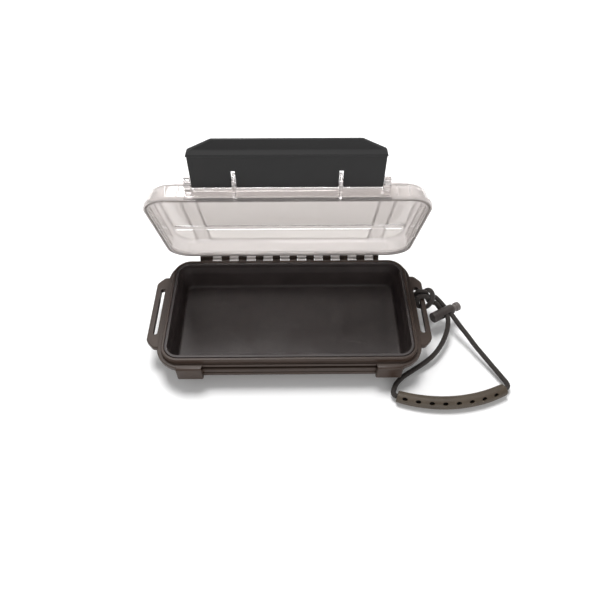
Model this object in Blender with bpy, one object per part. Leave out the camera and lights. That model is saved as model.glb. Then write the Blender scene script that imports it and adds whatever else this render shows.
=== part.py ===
# Dry box: tub, clear lid on a rear hinge, swing latch, lanyard with cord lock and grip.
# Origin at the centre of the underside, +X to the lanyard end, +Y to the hinge, +Z up. Metres.
import math

import bpy
import bmesh
from mathutils import Matrix, Vector

for old in list(bpy.data.objects):
    bpy.data.objects.remove(old, do_unlink=True)

mm = 0.001

# Sizes of the tub
rim_length = 200 * mm
rim_width = 103 * mm
rim_corner = 14.5 * mm
rim_height = 29 * mm
rim_rise = 4.5 * mm
flange_reach = 4.0 * mm
flange_thickness = 4.6 * mm
flange_corner_extra = 2.5 * mm
wall_setback = 3.0 * mm
wall_draft = 2.0 * mm
wall_thickness = 2.2 * mm
rim_wall = 2.4 * mm
rim_shelf = 1.2 * mm
rim_shelf_drop = 1.5 * mm
floor_thickness = 2.4 * mm
corner_steps = 6
edge_break = 0.3 * mm
edge_round = 0.7 * mm
cutter_reach = 12 * mm
groove_start = 6 * mm
groove_end = 14 * mm
groove_depth = 0.6 * mm
least_corner = 1.2 * mm

# Sizes of the liner
liner_gap = 0.3 * mm
liner_thickness = 1.2 * mm
liner_lip = 0.35 * mm

# Sizes of the end handles
handle_reach = 13.4 * mm
handle_half = 36 * mm
handle_taper = 6.5 * mm
handle_shoulder = 3.5 * mm
handle_root = 3 * mm
shoulder_radius = 3.5 * mm
handle_radius = 6 * mm
handle_edge = 0.6 * mm
handle_thickness = 4.5 * mm
handle_bar = 3.8 * mm
slot_width = 4.6 * mm
slot_length = 47 * mm

# Sizes of the hinge
hinge_behind = 7.4 * mm
knuckle_radius = 2.7 * mm
pin_radius = 0.9 * mm
pin_clearance = 0.3 * mm
pin_inset = 0.4 * mm
lid_knuckles = 10
knuckle_pitch = 15.0 * mm
lid_knuckle_width = 7.2 * mm
knuckle_gap = 0.35 * mm
knuckle_root = 0.7 * mm
first_lid_knuckle = -64.4 * mm
hinge_start = -79.4 * mm
hinge_end = 79.0 * mm

# Sizes of the lid
lid_open_angle = math.radians(66.95)
lid_overhang = 4.2 * mm
lid_rim_thickness = 3.4 * mm
lid_seat = 0.5 * mm
lid_inner_height = 13.5 * mm
lid_top_thickness = 2.2 * mm
lid_wall = 2.5 * mm
lid_corner_extra = 3.5 * mm
lid_fillet_across = 6.0 * mm
lid_inner_fillet = 3.6 * mm
lid_outer_fillet = 3.9 * mm
fillet_steps = 4
lid_draft = 1.6 * mm
lid_rim_step = 1.3 * mm
band_height = 0.9 * mm
band_sink = 0.9 * mm
band_slope = 1.6 * mm
band_width = 11.8 * mm
band_offset = 75.3 * mm
band_end = 9 * mm
band_front_gap = 6.5 * mm
band_side_gap = 5.0 * mm
cross_band_width = 7.6 * mm
cross_band_offset = 34.6 * mm
plate_length = 57 * mm
plate_width = 36 * mm
plate_offset = 69.5 * mm
plate_depth = 0.5 * mm

# Sizes of the sealing ring
seal_width = 1.2 * mm
seal_height = 2.0 * mm
seal_clearance = 0.2 * mm

# Sizes of the latch
latch_open_angle = math.radians(114.35)
latch_pivot_out = 2.8 * mm
latch_pivot_up = 11.8 * mm
latch_half_width = 66.2 * mm
latch_tab = 7.25 * mm
latch_thickness = 2.4 * mm
latch_barrel = 2.9 * mm
latch_panel_in = 2.2 * mm
latch_chamfer_width = 16.7 * mm
latch_chamfer_height = 8.1 * mm
hook_reach = 3.4 * mm
hook_thickness = 2.2 * mm
hook_clearance = 0.35 * mm
ear_offset = 36.8 * mm
ear_thickness = 2.6 * mm
ear_radius = 7.0 * mm
ear_clearance = 0.5 * mm
ear_foot_rise = 0.7 * mm
ear_foot_gap = 1.1 * mm
end_ear_gap = 0.7 * mm
end_ear_thickness = 4.6 * mm
end_ear_radius = 4.2 * mm
rib_first = 4.6 * mm
rib_inset = 13.5 * mm
rib_thickness = 1.6 * mm

# Sizes of the catch on the tub
catch_bottom = 11.5 * mm
catch_height = 7.0 * mm
catch_reach = 2.6 * mm
catch_groove = 0.7 * mm
catch_groove_up = 4.0 * mm
catch_groove_width = 1.3 * mm
ledge_root = 1.8 * mm
bay_clearance = 1.0 * mm
bay_setback = 1.5 * mm
lug_length = 19.8 * mm
lug_reach = 5.8 * mm
lug_bottom = 9.5 * mm

# Sizes of the lanyard
cord_radius = 2.0 * mm
strand_gap = 0.5 * mm
bore_clearance = 0.35 * mm
grip_radius = 4.7 * mm
grip_end_radius = 4.2 * mm
grip_start = Vector((83.6, -70.2, 4.75)) * mm
grip_finish = Vector((167.2, -65.0, 4.75)) * mm
grip_sag = 8.3 * mm
grip_holes = 8
grip_hole_pitch = 10.05 * mm
grip_first_hole = 5.6 * mm
grip_hole_length = 4.2 * mm
grip_hole_width = 2.6 * mm
grip_hole_tilt = math.radians(50)

# Sizes of the cord lock
lock_centre = Vector((131.8, 3.6, 15.8)) * mm
lock_turn = math.atan2(0.475, 0.88)
lock_radius = 4.4 * mm
lock_wall = 1.0 * mm
lock_back = 14.5 * mm
lock_front = 6.5 * mm
lock_travel = 2.5 * mm
plunger_clearance = 0.25 * mm
knob_radius = 3.9 * mm
knob_gap = 3.0 * mm
knob_length = 4.0 * mm
plunger_back = 8.6 * mm
spring_wire = 0.3 * mm
spring_turns = 3.5

# Places that follow from the sizes
flange_top = rim_height - rim_rise
flange_bottom = flange_top - flange_thickness
half_x = rim_length / 2
half_y = rim_width / 2
hinge_y = half_y + hinge_behind
hinge_z = flange_top
lid_rear = hinge_behind - lid_overhang
lid_front = hinge_behind + rim_width + lid_overhang
lid_middle = hinge_behind + half_y
pivot_reach = lid_front + latch_pivot_out
closed_pivot_z = hinge_z + latch_pivot_up
hook_top = catch_bottom - hook_clearance - closed_pivot_z
latch_length = hook_thickness + latch_tab - hook_top


def material(name, color, roughness, metallic=0.0, alpha=1.0, transmission=0.0):
    made = bpy.data.materials.new(name)
    made.use_nodes = True
    shader = made.node_tree.nodes["Principled BSDF"]
    shader.inputs["Base Color"].default_value = (*color, 1.0)
    shader.inputs["Roughness"].default_value = roughness
    shader.inputs["Metallic"].default_value = metallic
    shader.inputs["Alpha"].default_value = alpha
    shader.inputs["Transmission Weight"].default_value = transmission
    return made


black_plastic = material("black_plastic", (0.030, 0.026, 0.027), 0.42)
latch_plastic = material("latch_plastic", (0.036, 0.035, 0.036), 0.48)
liner_rubber = material("liner_rubber", (0.024, 0.021, 0.021), 0.65)
seal_rubber = material("seal_rubber", (0.085, 0.080, 0.078), 0.55)
clear_plastic = material("clear_plastic", (0.86, 0.86, 0.87), 0.06, transmission=1.0)
bright_steel = material("bright_steel", (0.55, 0.55, 0.56), 0.28, metallic=1.0)
black_cord = material("black_cord", (0.020, 0.018, 0.018), 0.80)
grip_rubber = material("grip_rubber", (0.045, 0.038, 0.032), 0.60)
lock_plastic = material("lock_plastic", (0.045, 0.042, 0.042), 0.40)


def finish(name, mesh_builder, look=None, smooth_angle=35):
    mesh = bpy.data.meshes.new(name)
    bmesh.ops.recalc_face_normals(mesh_builder, faces=mesh_builder.faces)
    mesh_builder.to_mesh(mesh)
    mesh_builder.free()
    mesh.shade_smooth()
    mesh.set_sharp_from_angle(angle=math.radians(smooth_angle))
    made = bpy.data.objects.new(name, mesh)
    bpy.context.scene.collection.objects.link(made)
    if look:
        mesh.materials.append(look)
    return made


# Rounded rectangle that lies reach outside the rim's outline, as points at one height.
def rounded_ring(reach, height, shift_y=0.0, corner_extra=0.0):
    radius = max(rim_corner + reach + corner_extra, least_corner)
    center_x = half_x + reach - radius
    center_y = half_y + reach - radius
    points = []
    for corner, (side_x, side_y) in enumerate(((1, 1), (-1, 1), (-1, -1), (1, -1))):
        for step in range(corner_steps + 1):
            angle = math.radians(90) * (corner + step / corner_steps)
            x = side_x * center_x + radius * math.cos(angle)
            y = side_y * center_y + radius * math.sin(angle)
            points.append(Vector((x, y + shift_y, height)))
    return points


# Skin of faces over a row of rings with the same number of points, with flat end caps.
def loft(name, rings, look=None, closed=False):
    builder = bmesh.new()
    rows = [[builder.verts.new(point) for point in ring] for ring in rings]
    pairs = list(zip(rows, rows[1:]))
    if closed:
        pairs.append((rows[-1], rows[0]))
    for lower, upper in pairs:
        count = len(lower)
        for index in range(count):
            after = (index + 1) % count
            builder.faces.new((lower[index], lower[after], upper[after], upper[index]))
    if not closed:
        builder.faces.new(rows[0])
        builder.faces.new(rows[-1])
    return finish(name, builder, look)


# Outline through (a, b, radius) corners, each rounded by its radius.
def rounded_outline(corners, steps=4):
    outline = []
    count = len(corners)
    for index in range(count):
        a, b, radius = corners[index]
        here = Vector((a, b))
        before = Vector(corners[index - 1][:2]) - here
        after = Vector(corners[(index + 1) % count][:2]) - here
        if radius <= 0:
            outline.append(here)
            continue
        half = before.angle(after) / 2
        reach = min(radius / math.tan(half), 0.49 * before.length, 0.49 * after.length)
        real = reach * math.tan(half)
        start = here + before.normalized() * reach
        end = here + after.normalized() * reach
        center = here + (before.normalized() + after.normalized()).normalized() * (real / math.sin(half))
        first = start - center
        turn = first.angle_signed(end - center)
        for step in range(steps + 1):
            outline.append(center + Matrix.Rotation(-turn * step / steps, 2) @ first)
    return outline


def arc_points(center_a, center_b, radius, start_degrees, end_degrees, steps):
    points = []
    for step in range(steps + 1):
        angle = math.radians(start_degrees + (end_degrees - start_degrees) * step / steps)
        points.append(Vector((center_a + radius * math.cos(angle), center_b + radius * math.sin(angle))))
    return points


# Outline extruded along x, y or z; the outline holds the other two coordinates.
def prism(name, outline, axis, start, end, look=None, bevel=0.0, bevel_steps=2):
    builder = bmesh.new()
    ends = []
    for at in (start, end):
        if axis == "x":
            ends.append([builder.verts.new((at, point[0], point[1])) for point in outline])
        elif axis == "y":
            ends.append([builder.verts.new((point[0], at, point[1])) for point in outline])
        else:
            ends.append([builder.verts.new((point[0], point[1], at)) for point in outline])
    first, last = ends
    count = len(outline)
    caps = [builder.faces.new(first), builder.faces.new(last)]
    for index in range(count):
        after = (index + 1) % count
        builder.faces.new((first[index], first[after], last[after], last[index]))
    if bevel > 0:
        edges = [edge for face in caps for edge in face.edges]
        bmesh.ops.recalc_face_normals(builder, faces=builder.faces)
        bmesh.ops.bevel(builder, geom=edges, offset=bevel, segments=bevel_steps, profile=0.5, affect="EDGES")
    return finish(name, builder, look)


# Round rod from start to end.
def rod(name, radius, start, end, look=None, sides=16, bevel=0.0):
    start = Vector(start)
    end = Vector(end)
    axis = end - start
    builder = bmesh.new()
    bmesh.ops.create_cone(
        builder, cap_ends=True, segments=sides, radius1=radius, radius2=radius, depth=axis.length
    )
    if bevel > 0:
        caps = [face for face in builder.faces if len(face.verts) == sides]
        edges = [edge for face in caps for edge in face.edges]
        bmesh.ops.bevel(builder, geom=edges, offset=bevel, segments=1, affect="EDGES")
    turn = axis.to_track_quat("Z", "Y").to_matrix().to_4x4()
    bmesh.ops.transform(builder, matrix=Matrix.Translation((start + end) / 2) @ turn, verts=builder.verts)
    return finish(name, builder, look)


def block(name, low, high, look=None, bevel=0.0):
    outline = [(low[0], low[1]), (high[0], low[1]), (high[0], high[1]), (low[0], high[1])]
    return prism(name, outline, "z", low[2], high[2], look, bevel)


# Boolean of tool into target; the tool stays as a hidden guide.
def combine(target, tool, operation):
    tool.hide_render = True
    tool.display_type = "WIRE"
    step = target.modifiers.new(tool.name, "BOOLEAN")
    step.operation = operation
    step.solver = "EXACT"
    step.object = tool
    return target


def hang(child, parent):
    child.parent = parent
    return child


# Tub: one skin from the underside up over the rim and down to the floor
skirt = wall_setback
foot = wall_setback + wall_draft
inner_top = -(rim_wall + rim_shelf)
inner_middle = -(wall_setback + wall_thickness)
inner_floor = -(wall_setback + wall_draft * 0.9 + wall_thickness)


# The flange's corners are rounder than the rim's.
def flange_ring(reach, height):
    return rounded_ring(reach, height, 0.0, flange_corner_extra)


base_shell = loft("base_shell", [
    rounded_ring(-foot - 2.0 * mm, 0.0),
    rounded_ring(-foot - 0.8 * mm, 0.4 * mm),
    rounded_ring(-foot - 0.1 * mm, 1.2 * mm),
    rounded_ring(-foot + 0.2 * mm, 2.4 * mm),
    rounded_ring(-skirt, flange_bottom - 0.3 * mm),
    rounded_ring(-skirt + 0.5 * mm, flange_bottom),
    flange_ring(flange_reach - edge_round, flange_bottom),
    flange_ring(flange_reach, flange_bottom + edge_round),
    flange_ring(flange_reach, flange_top - edge_round),
    flange_ring(flange_reach - edge_round, flange_top),
    rounded_ring(edge_break, flange_top),
    rounded_ring(0.0, flange_top + edge_break),
    rounded_ring(0.0, rim_height - edge_round),
    rounded_ring(-edge_break * 0.7, rim_height - edge_break * 0.7),
    rounded_ring(-edge_round, rim_height),
    rounded_ring(-rim_wall + edge_break, rim_height),
    rounded_ring(-rim_wall, rim_height - edge_break),
    rounded_ring(-rim_wall, rim_height - rim_shelf_drop),
    rounded_ring(inner_top, rim_height - rim_shelf_drop),
    rounded_ring(inner_top, rim_height - 3.2 * mm),
    rounded_ring(inner_middle, flange_bottom),
    rounded_ring(inner_floor, floor_thickness + 1.6 * mm),
    rounded_ring(inner_floor - 0.6 * mm, floor_thickness + 0.4 * mm),
    rounded_ring(inner_floor - 2.0 * mm, floor_thickness),
], black_plastic)

# End handles: a flat bow on each end with a long strap slot
handle_top = flange_top - 0.1 * mm
handle_bottom = handle_top - handle_thickness
handle_out = half_x + handle_reach
slot_outer = handle_out - handle_bar
slot_inner = slot_outer - slot_width
for side, side_name in ((-1, "left"), (1, "right")):
    corners = [
        (side * (half_x - handle_root), -handle_half, 0),
        (side * (half_x + flange_reach + handle_shoulder), -handle_half, shoulder_radius),
        (side * handle_out, -handle_half + handle_taper, handle_radius),
        (side * handle_out, handle_half - handle_taper, handle_radius),
        (side * (half_x + flange_reach + handle_shoulder), handle_half, shoulder_radius),
        (side * (half_x - handle_root), handle_half, 0),
    ]
    handle = prism("guide_handle_" + side_name, rounded_outline(corners), "z",
                   handle_bottom, handle_top, None, handle_edge)
    combine(base_shell, handle, "UNION")
    middle = side * (slot_inner + slot_outer) / 2
    slot_corners = [
        (middle - slot_width / 2, -slot_length / 2, slot_width * 0.45),
        (middle + slot_width / 2, -slot_length / 2, slot_width * 0.45),
        (middle + slot_width / 2, slot_length / 2, slot_width * 0.45),
        (middle - slot_width / 2, slot_length / 2, slot_width * 0.45),
    ]
    slot = prism("guide_slot_" + side_name, rounded_outline(slot_corners), "z",
                 handle_bottom - cutter_reach, handle_top + cutter_reach)
    combine(base_shell, slot, "DIFFERENCE")

# Catch: a bay between two lugs, with the ledge that the latch hooks under
bay_half = latch_half_width + bay_clearance
bay_face = -half_y - bay_setback
bay = block("guide_bay", (-bay_half, bay_face - cutter_reach, flange_bottom - edge_round),
            (bay_half, bay_face, flange_top + edge_round))
combine(base_shell, bay, "DIFFERENCE")
wall_face = -half_y + wall_setback
ledge_face = -half_y - catch_reach
groove_top = catch_bottom + catch_groove_up + catch_groove_width / 2
groove_bottom = groove_top - catch_groove_width
ledge_corners = [
    (wall_face + ledge_root, catch_bottom, 0),
    (wall_face + ledge_root, catch_bottom + catch_height, 0),
    (ledge_face, catch_bottom + catch_height, 0.9 * mm),
    (ledge_face, groove_top, edge_break),
    (ledge_face + catch_groove, groove_top - edge_break, 0),
    (ledge_face + catch_groove, groove_bottom + edge_break, 0),
    (ledge_face, groove_bottom, edge_break),
    (ledge_face, catch_bottom, 0.5 * mm),
]
ledge = prism("guide_ledge", rounded_outline(ledge_corners, 2), "x",
              -bay_half - ledge_root, bay_half + ledge_root)
combine(base_shell, ledge, "UNION")
lug_corners = [
    (wall_face + 2.0 * mm, lug_bottom, 0),
    (wall_face + 0.4 * mm, flange_top - 0.05 * mm, 0),
    (-half_y - lug_reach, flange_top - 0.05 * mm, 1.6 * mm),
    (-half_y - lug_reach, lug_bottom, 2.6 * mm),
]
for side, side_name in ((-1, "left"), (1, "right")):
    near = bay_half
    far = bay_half + lug_length
    lug = prism("guide_lug_" + side_name, rounded_outline(lug_corners), "x",
                min(side * near, side * far), max(side * near, side * far), None, 0.9 * mm)
    combine(base_shell, lug, "UNION")

# Rear hinge: knuckles of the tub, then the bore for the pin


def knuckle_outline(center_y, center_z, wall_y, wall_low, wall_high, degrees_from, degrees_to):
    points = arc_points(center_y, center_z, knuckle_radius, degrees_from, degrees_to, 12)
    points.append(Vector((wall_y, wall_high)))
    points.append(Vector((wall_y, wall_low)))
    return points


base_knuckle = knuckle_outline(hinge_y, hinge_z, half_y + 1.0 * mm, flange_bottom + 1.0 * mm,
                               flange_top - 0.6 * mm, -125, 165)
spans = []
edge = hinge_start
for number in range(lid_knuckles):
    center = first_lid_knuckle + number * knuckle_pitch
    spans.append((edge, center - lid_knuckle_width / 2 - knuckle_gap))
    edge = center + lid_knuckle_width / 2 + knuckle_gap
spans.append((edge, hinge_end))
for number, (start, end) in enumerate(spans):
    knuckle = prism("guide_knuckle_%02d" % number, base_knuckle, "x", start, end)
    combine(base_shell, knuckle, "UNION")
bore = rod("guide_bore", pin_radius + pin_clearance, (hinge_start - cutter_reach, hinge_y, hinge_z),
           (hinge_end + cutter_reach, hinge_y, hinge_z), None, 12)
combine(base_shell, bore, "DIFFERENCE")

# Underside: a shallow groove that leaves a standing rim and a flat middle field
groove = loft("guide_groove", [
    rounded_ring(-foot - groove_start, -groove_depth),
    rounded_ring(-foot - groove_start, groove_depth),
    rounded_ring(-foot - groove_end, groove_depth),
    rounded_ring(-foot - groove_end, -groove_depth),
], None, closed=True)
combine(base_shell, groove, "DIFFERENCE")

# Liner: a soft tray in the tub, whose lip stands just above the rim
liner_top = rim_height + liner_lip
lip_outer = -rim_wall - liner_gap
liner_outer_top = inner_top - liner_gap
liner_outer_middle = inner_middle - liner_gap
liner_outer_floor = inner_floor - liner_gap
lip_under = rim_height - rim_shelf_drop + liner_gap
liner_bottom = floor_thickness + liner_gap
liner_inner_floor = liner_outer_floor - liner_thickness
base_liner = loft("base_liner", [
    rounded_ring(liner_outer_floor - 1.9 * mm, liner_bottom),
    rounded_ring(liner_outer_floor - 0.6 * mm, liner_bottom + 0.4 * mm),
    rounded_ring(liner_outer_floor, liner_bottom + 1.6 * mm),
    rounded_ring(liner_outer_middle, flange_bottom),
    rounded_ring(liner_outer_top, rim_height - 3.2 * mm),
    rounded_ring(liner_outer_top, lip_under),
    rounded_ring(lip_outer, lip_under),
    rounded_ring(lip_outer, liner_top - 0.3 * mm),
    rounded_ring(lip_outer - 0.3 * mm, liner_top),
    rounded_ring(liner_outer_top - liner_thickness + 0.5 * mm, liner_top),
    rounded_ring(liner_outer_top - liner_thickness, liner_top - 0.5 * mm),
    rounded_ring(liner_outer_top - liner_thickness, rim_height - 3.4 * mm),
    rounded_ring(liner_outer_middle - liner_thickness, flange_bottom),
    rounded_ring(liner_inner_floor, liner_bottom + 2.4 * mm),
    rounded_ring(liner_inner_floor - 0.7 * mm, liner_bottom + liner_thickness + 0.3 * mm),
    rounded_ring(liner_inner_floor - 2.0 * mm, liner_bottom + liner_thickness),
], liner_rubber)

# Hinge pin
hinge_pin = rod("hinge_pin", pin_radius, (hinge_start + pin_inset, hinge_y, hinge_z),
                (hinge_end - pin_inset, hinge_y, hinge_z), bright_steel, 12)

# The lid is modelled closed, seen from its hinge, and turned open by its empty
lid_hinge = bpy.data.objects.new("lid_hinge", None)
lid_hinge.location = (0, hinge_y, hinge_z)
lid_hinge.rotation_euler = (-lid_open_angle, 0, 0)
bpy.context.scene.collection.objects.link(lid_hinge)


def lid_ring(reach, height, corner_extra=0.0):
    return rounded_ring(reach, height, -lid_middle, corner_extra)


# Rounded edge from a flat at one height to a wall at one reach, as rings of the lid.
def rounded_edge(reach, height, across, down):
    rings = []
    for step in range(fillet_steps + 1):
        angle = math.radians(90) * step / fillet_steps
        inward = across * (1 - math.sin(angle))
        rings.append(lid_ring(reach - inward, height - down * (1 - math.cos(angle)), lid_corner_extra))
    return rings


rim_out = lid_overhang
rim_in = lid_overhang - lid_rim_thickness
seal_groove_out = rim_out - 0.9 * mm
seal_groove_in = seal_groove_out - seal_width - 2 * seal_clearance
seal_groove_top = lid_seat + seal_height
lid_top = lid_inner_height + lid_top_thickness
wall_low = rim_out - lid_rim_step
wall_high = wall_low - lid_draft
lid_shell = loft("lid_shell", [
    *rounded_edge(wall_high - lid_wall, lid_inner_height, lid_fillet_across, lid_inner_fillet),
    lid_ring(rim_in - 0.5 * mm, lid_seat + 4.6 * mm),
    lid_ring(rim_in, lid_seat + 3.4 * mm),
    lid_ring(rim_in, lid_seat),
    lid_ring(seal_groove_in, lid_seat),
    lid_ring(seal_groove_in, seal_groove_top),
    lid_ring(seal_groove_out, seal_groove_top),
    lid_ring(seal_groove_out, lid_seat),
    lid_ring(rim_out - 0.3 * mm, lid_seat),
    lid_ring(rim_out, lid_seat + 0.3 * mm),
    lid_ring(rim_out, lid_seat + 2.8 * mm),
    lid_ring(rim_out - 0.4 * mm, lid_seat + 3.2 * mm),
    lid_ring(wall_low, lid_seat + 3.5 * mm),
    *reversed(rounded_edge(wall_high, lid_top, lid_fillet_across, lid_outer_fillet)),
], clear_plastic)
hang(lid_shell, lid_hinge)

# Raised bands on the lid, two across and one along, and a sunk plate field


# Outline of a band with sloped sides, as (across, height).
def band_outline(middle, width, height):
    return [
        Vector((middle - width / 2 - band_slope, lid_top - band_sink)),
        Vector((middle - width / 2 - band_slope / 2, lid_top)),
        Vector((middle - width / 2 + band_slope / 2, lid_top + height)),
        Vector((middle + width / 2 - band_slope / 2, lid_top + height)),
        Vector((middle + width / 2 + band_slope / 2, lid_top)),
        Vector((middle + width / 2 + band_slope, lid_top - band_sink)),
    ]


rear_wall = -(hinge_behind - wall_low)
rear_top = -(hinge_behind - wall_high)
strap = [
    Vector((rear_wall - band_sink, lid_seat + 2.8 * mm)),
    Vector((rear_wall + band_height, lid_seat + 2.8 * mm)),
    Vector((rear_top + band_height, lid_inner_height - 1.5 * mm)),
    Vector((rear_top + band_height - 0.6 * mm, lid_inner_height + 0.6 * mm)),
    Vector((rear_top - 1.1 * mm, lid_top + 0.2 * mm)),
    Vector((-band_end - band_slope, lid_top + band_height - 0.05 * mm)),
    Vector((-band_end - band_slope, lid_top - band_sink)),
    Vector((rear_top - band_sink, lid_inner_height - 0.4 * mm)),
]
for side, side_name in ((-1, "left"), (1, "right")):
    middle = side * band_offset
    band = prism("guide_band_" + side_name, band_outline(middle, band_width, band_height), "y",
                 -lid_front + band_front_gap, -band_end)
    hang(band, lid_hinge)
    combine(lid_shell, band, "UNION")
    wrap = prism("guide_strap_" + side_name, strap, "x", middle - band_width / 2, middle + band_width / 2)
    hang(wrap, lid_hinge)
    combine(lid_shell, wrap, "UNION")
cross_height = band_height - 0.1 * mm
cross_band = prism("guide_band_cross", band_outline(-cross_band_offset, cross_band_width, cross_height), "x",
                   -half_x + band_side_gap, half_x - band_side_gap)
hang(cross_band, lid_hinge)
combine(lid_shell, cross_band, "UNION")
plate_field = block("guide_plate_field",
                    (-plate_length / 2, -plate_offset - plate_width / 2, lid_top - plate_depth),
                    (plate_length / 2, -plate_offset + plate_width / 2, lid_top + cutter_reach))
hang(plate_field, lid_hinge)
combine(lid_shell, plate_field, "DIFFERENCE")

# Lid knuckles
lid_knuckle = arc_points(0, 0, knuckle_radius, 245, 425, 10)
lid_knuckle += [
    Vector((-lid_rear - knuckle_root, lid_seat + 2.5 * mm)),
    Vector((-lid_rear - knuckle_root, lid_seat + 0.5 * mm)),
]
for number in range(lid_knuckles):
    center = first_lid_knuckle + number * knuckle_pitch
    knuckle = prism("guide_lid_knuckle_%02d" % number, lid_knuckle, "x",
                    center - lid_knuckle_width / 2, center + lid_knuckle_width / 2)
    hang(knuckle, lid_hinge)
    combine(lid_shell, knuckle, "UNION")
lid_bore = rod("guide_lid_bore", pin_radius + pin_clearance, (hinge_start - cutter_reach, 0, 0),
               (hinge_end + cutter_reach, 0, 0), None, 12)
hang(lid_bore, lid_hinge)
combine(lid_shell, lid_bore, "DIFFERENCE")

# Ears for the latch pin on the front wall: two thin fins, two end ears, thin corner ribs
pivot_y = -pivot_reach
pivot_z = latch_pivot_up
wall_root = -(lid_front - lid_overhang + wall_high - 1.2 * mm)
foot_low = lid_seat + ear_foot_rise
foot_root = -lid_front + 0.4 * mm
fin = arc_points(pivot_y, pivot_z, ear_radius, 262, 115, 11)
fin.append(Vector((wall_root, lid_top - 1.4 * mm)))
fin.append(Vector((wall_root, lid_seat + 3.8 * mm)))
fin.append(Vector((foot_root, lid_seat + 3.0 * mm)))
fin.append(Vector((foot_root, foot_low)))
fin.append(Vector((pivot_y + latch_panel_in - latch_thickness, foot_low)))
end_ear = arc_points(pivot_y, pivot_z, end_ear_radius, 285, 85, 10)
end_ear.append(Vector((wall_root, lid_top - 1.2 * mm)))
end_ear.append(Vector((wall_root, lid_seat + 3.8 * mm)))
rib = [
    Vector((-lid_front + 0.5 * mm, lid_seat + 2.4 * mm)),
    Vector((-lid_front + 0.9 * mm, lid_inner_height - 1.5 * mm)),
    Vector((wall_root, lid_inner_height)),
    Vector((wall_root, lid_seat + 2.4 * mm)),
]
end_ear_start = latch_half_width + end_ear_gap
end_ear_end = end_ear_start + end_ear_thickness
for side, side_name in ((-1, "left"), (1, "right")):
    pieces = (
        ("fin", fin, ear_offset - ear_thickness / 2, ear_offset + ear_thickness / 2),
        ("ear", end_ear, end_ear_start, end_ear_end),
        ("rib_a", rib, end_ear_end + rib_first, end_ear_end + rib_first + rib_thickness),
        ("rib_b", rib, half_x - rib_inset - rib_thickness, half_x - rib_inset),
    )
    for kind, outline, near, far in pieces:
        piece = prism("guide_%s_%s" % (kind, side_name), outline, "x",
                      min(side * near, side * far), max(side * near, side * far), None, edge_break, 1)
        hang(piece, lid_hinge)
        combine(lid_shell, piece, "UNION")
bore_end = end_ear_end + pin_inset
latch_bore = rod("guide_latch_bore", pin_radius + pin_clearance, (-bore_end, pivot_y, pivot_z),
                 (bore_end, pivot_y, pivot_z), None, 12)
hang(latch_bore, lid_hinge)
combine(lid_shell, latch_bore, "DIFFERENCE")

# Sealing ring in the rim of the lid
seal_out = seal_groove_out - seal_clearance
seal_in = seal_out - seal_width
seal_low = lid_seat - 0.3 * mm
seal_high = seal_groove_top - 0.3 * mm
lid_seal = loft("lid_seal", [
    lid_ring(seal_in, seal_low + 0.2 * mm),
    lid_ring(seal_in, seal_high),
    lid_ring(seal_out, seal_high),
    lid_ring(seal_out, seal_low + 0.2 * mm),
    lid_ring((seal_in + seal_out) / 2, seal_low),
], seal_rubber, closed=True)
hang(lid_seal, lid_hinge)

# Latch pin
latch_pin = rod("latch_pin", pin_radius, (-end_ear_end + pin_inset, pivot_y, pivot_z),
                (end_ear_end - pin_inset, pivot_y, pivot_z), bright_steel, 12)
hang(latch_pin, lid_hinge)

# Latch: modelled hanging closed from its pin, and swung open by its empty
latch_hinge = bpy.data.objects.new("latch_hinge", None)
latch_hinge.location = (0, pivot_y, pivot_z)
latch_hinge.rotation_euler = (-latch_open_angle, 0, 0)
bpy.context.scene.collection.objects.link(latch_hinge)
hang(latch_hinge, lid_hinge)
inner_face = latch_panel_in
outer_face = latch_panel_in - latch_thickness
hook_inner = inner_face + hook_reach
tab_start = hook_top - hook_thickness - 1.0 * mm
latch_profile = arc_points(0, 0, latch_barrel, 40, 265, 12)
latch_profile += [
    Vector((outer_face, -3.6 * mm)),
    Vector((outer_face, tab_start + 1.5 * mm)),
    Vector((outer_face - 1.2 * mm, tab_start - 2.5 * mm)),
    Vector((outer_face - 2.4 * mm, -latch_length + 0.7 * mm)),
    Vector((outer_face - 1.6 * mm, -latch_length)),
    Vector((inner_face - 2.7 * mm, -latch_length + 0.1 * mm)),
    Vector((inner_face - 1.1 * mm, tab_start - 2.8 * mm)),
    Vector((inner_face, tab_start)),
    Vector((inner_face, hook_top - hook_thickness)),
    Vector((hook_inner - 0.6 * mm, hook_top - hook_thickness + 0.3 * mm)),
    Vector((hook_inner, hook_top - 0.8 * mm)),
    Vector((hook_inner, hook_top)),
    Vector((inner_face, hook_top + 0.05 * mm)),
]
latch_panel = prism("latch_panel", latch_profile, "x", -latch_half_width, latch_half_width,
                    latch_plastic, 0.35 * mm)
hang(latch_panel, latch_hinge)
slot_half = ear_thickness / 2 + ear_clearance
for side, side_name in ((-1, "left"), (1, "right")):
    fin_slot = block("guide_fin_slot_" + side_name,
                     (side * ear_offset - slot_half, -cutter_reach, foot_low - ear_foot_gap - latch_pivot_up),
                     (side * ear_offset + slot_half, cutter_reach, cutter_reach))
    hang(fin_slot, latch_hinge)
    combine(latch_panel, fin_slot, "DIFFERENCE")
    corner = [
        Vector((side * (latch_half_width - latch_chamfer_width), -latch_length - edge_break)),
        Vector((side * (latch_half_width + cutter_reach), -latch_length - edge_break)),
        Vector((side * (latch_half_width + cutter_reach), -latch_length + latch_chamfer_height)),
        Vector((side * latch_half_width, -latch_length + latch_chamfer_height)),
    ]
    corner_cut = prism("guide_latch_corner_" + side_name, corner, "y", -cutter_reach, cutter_reach)
    hang(corner_cut, latch_hinge)
    combine(latch_panel, corner_cut, "DIFFERENCE")
panel_bore = rod("guide_panel_bore", pin_radius + pin_clearance, (-latch_half_width - cutter_reach, 0, 0),
                 (latch_half_width + cutter_reach, 0, 0), None, 12)
hang(panel_bore, latch_hinge)
combine(latch_panel, panel_bore, "DIFFERENCE")

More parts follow.
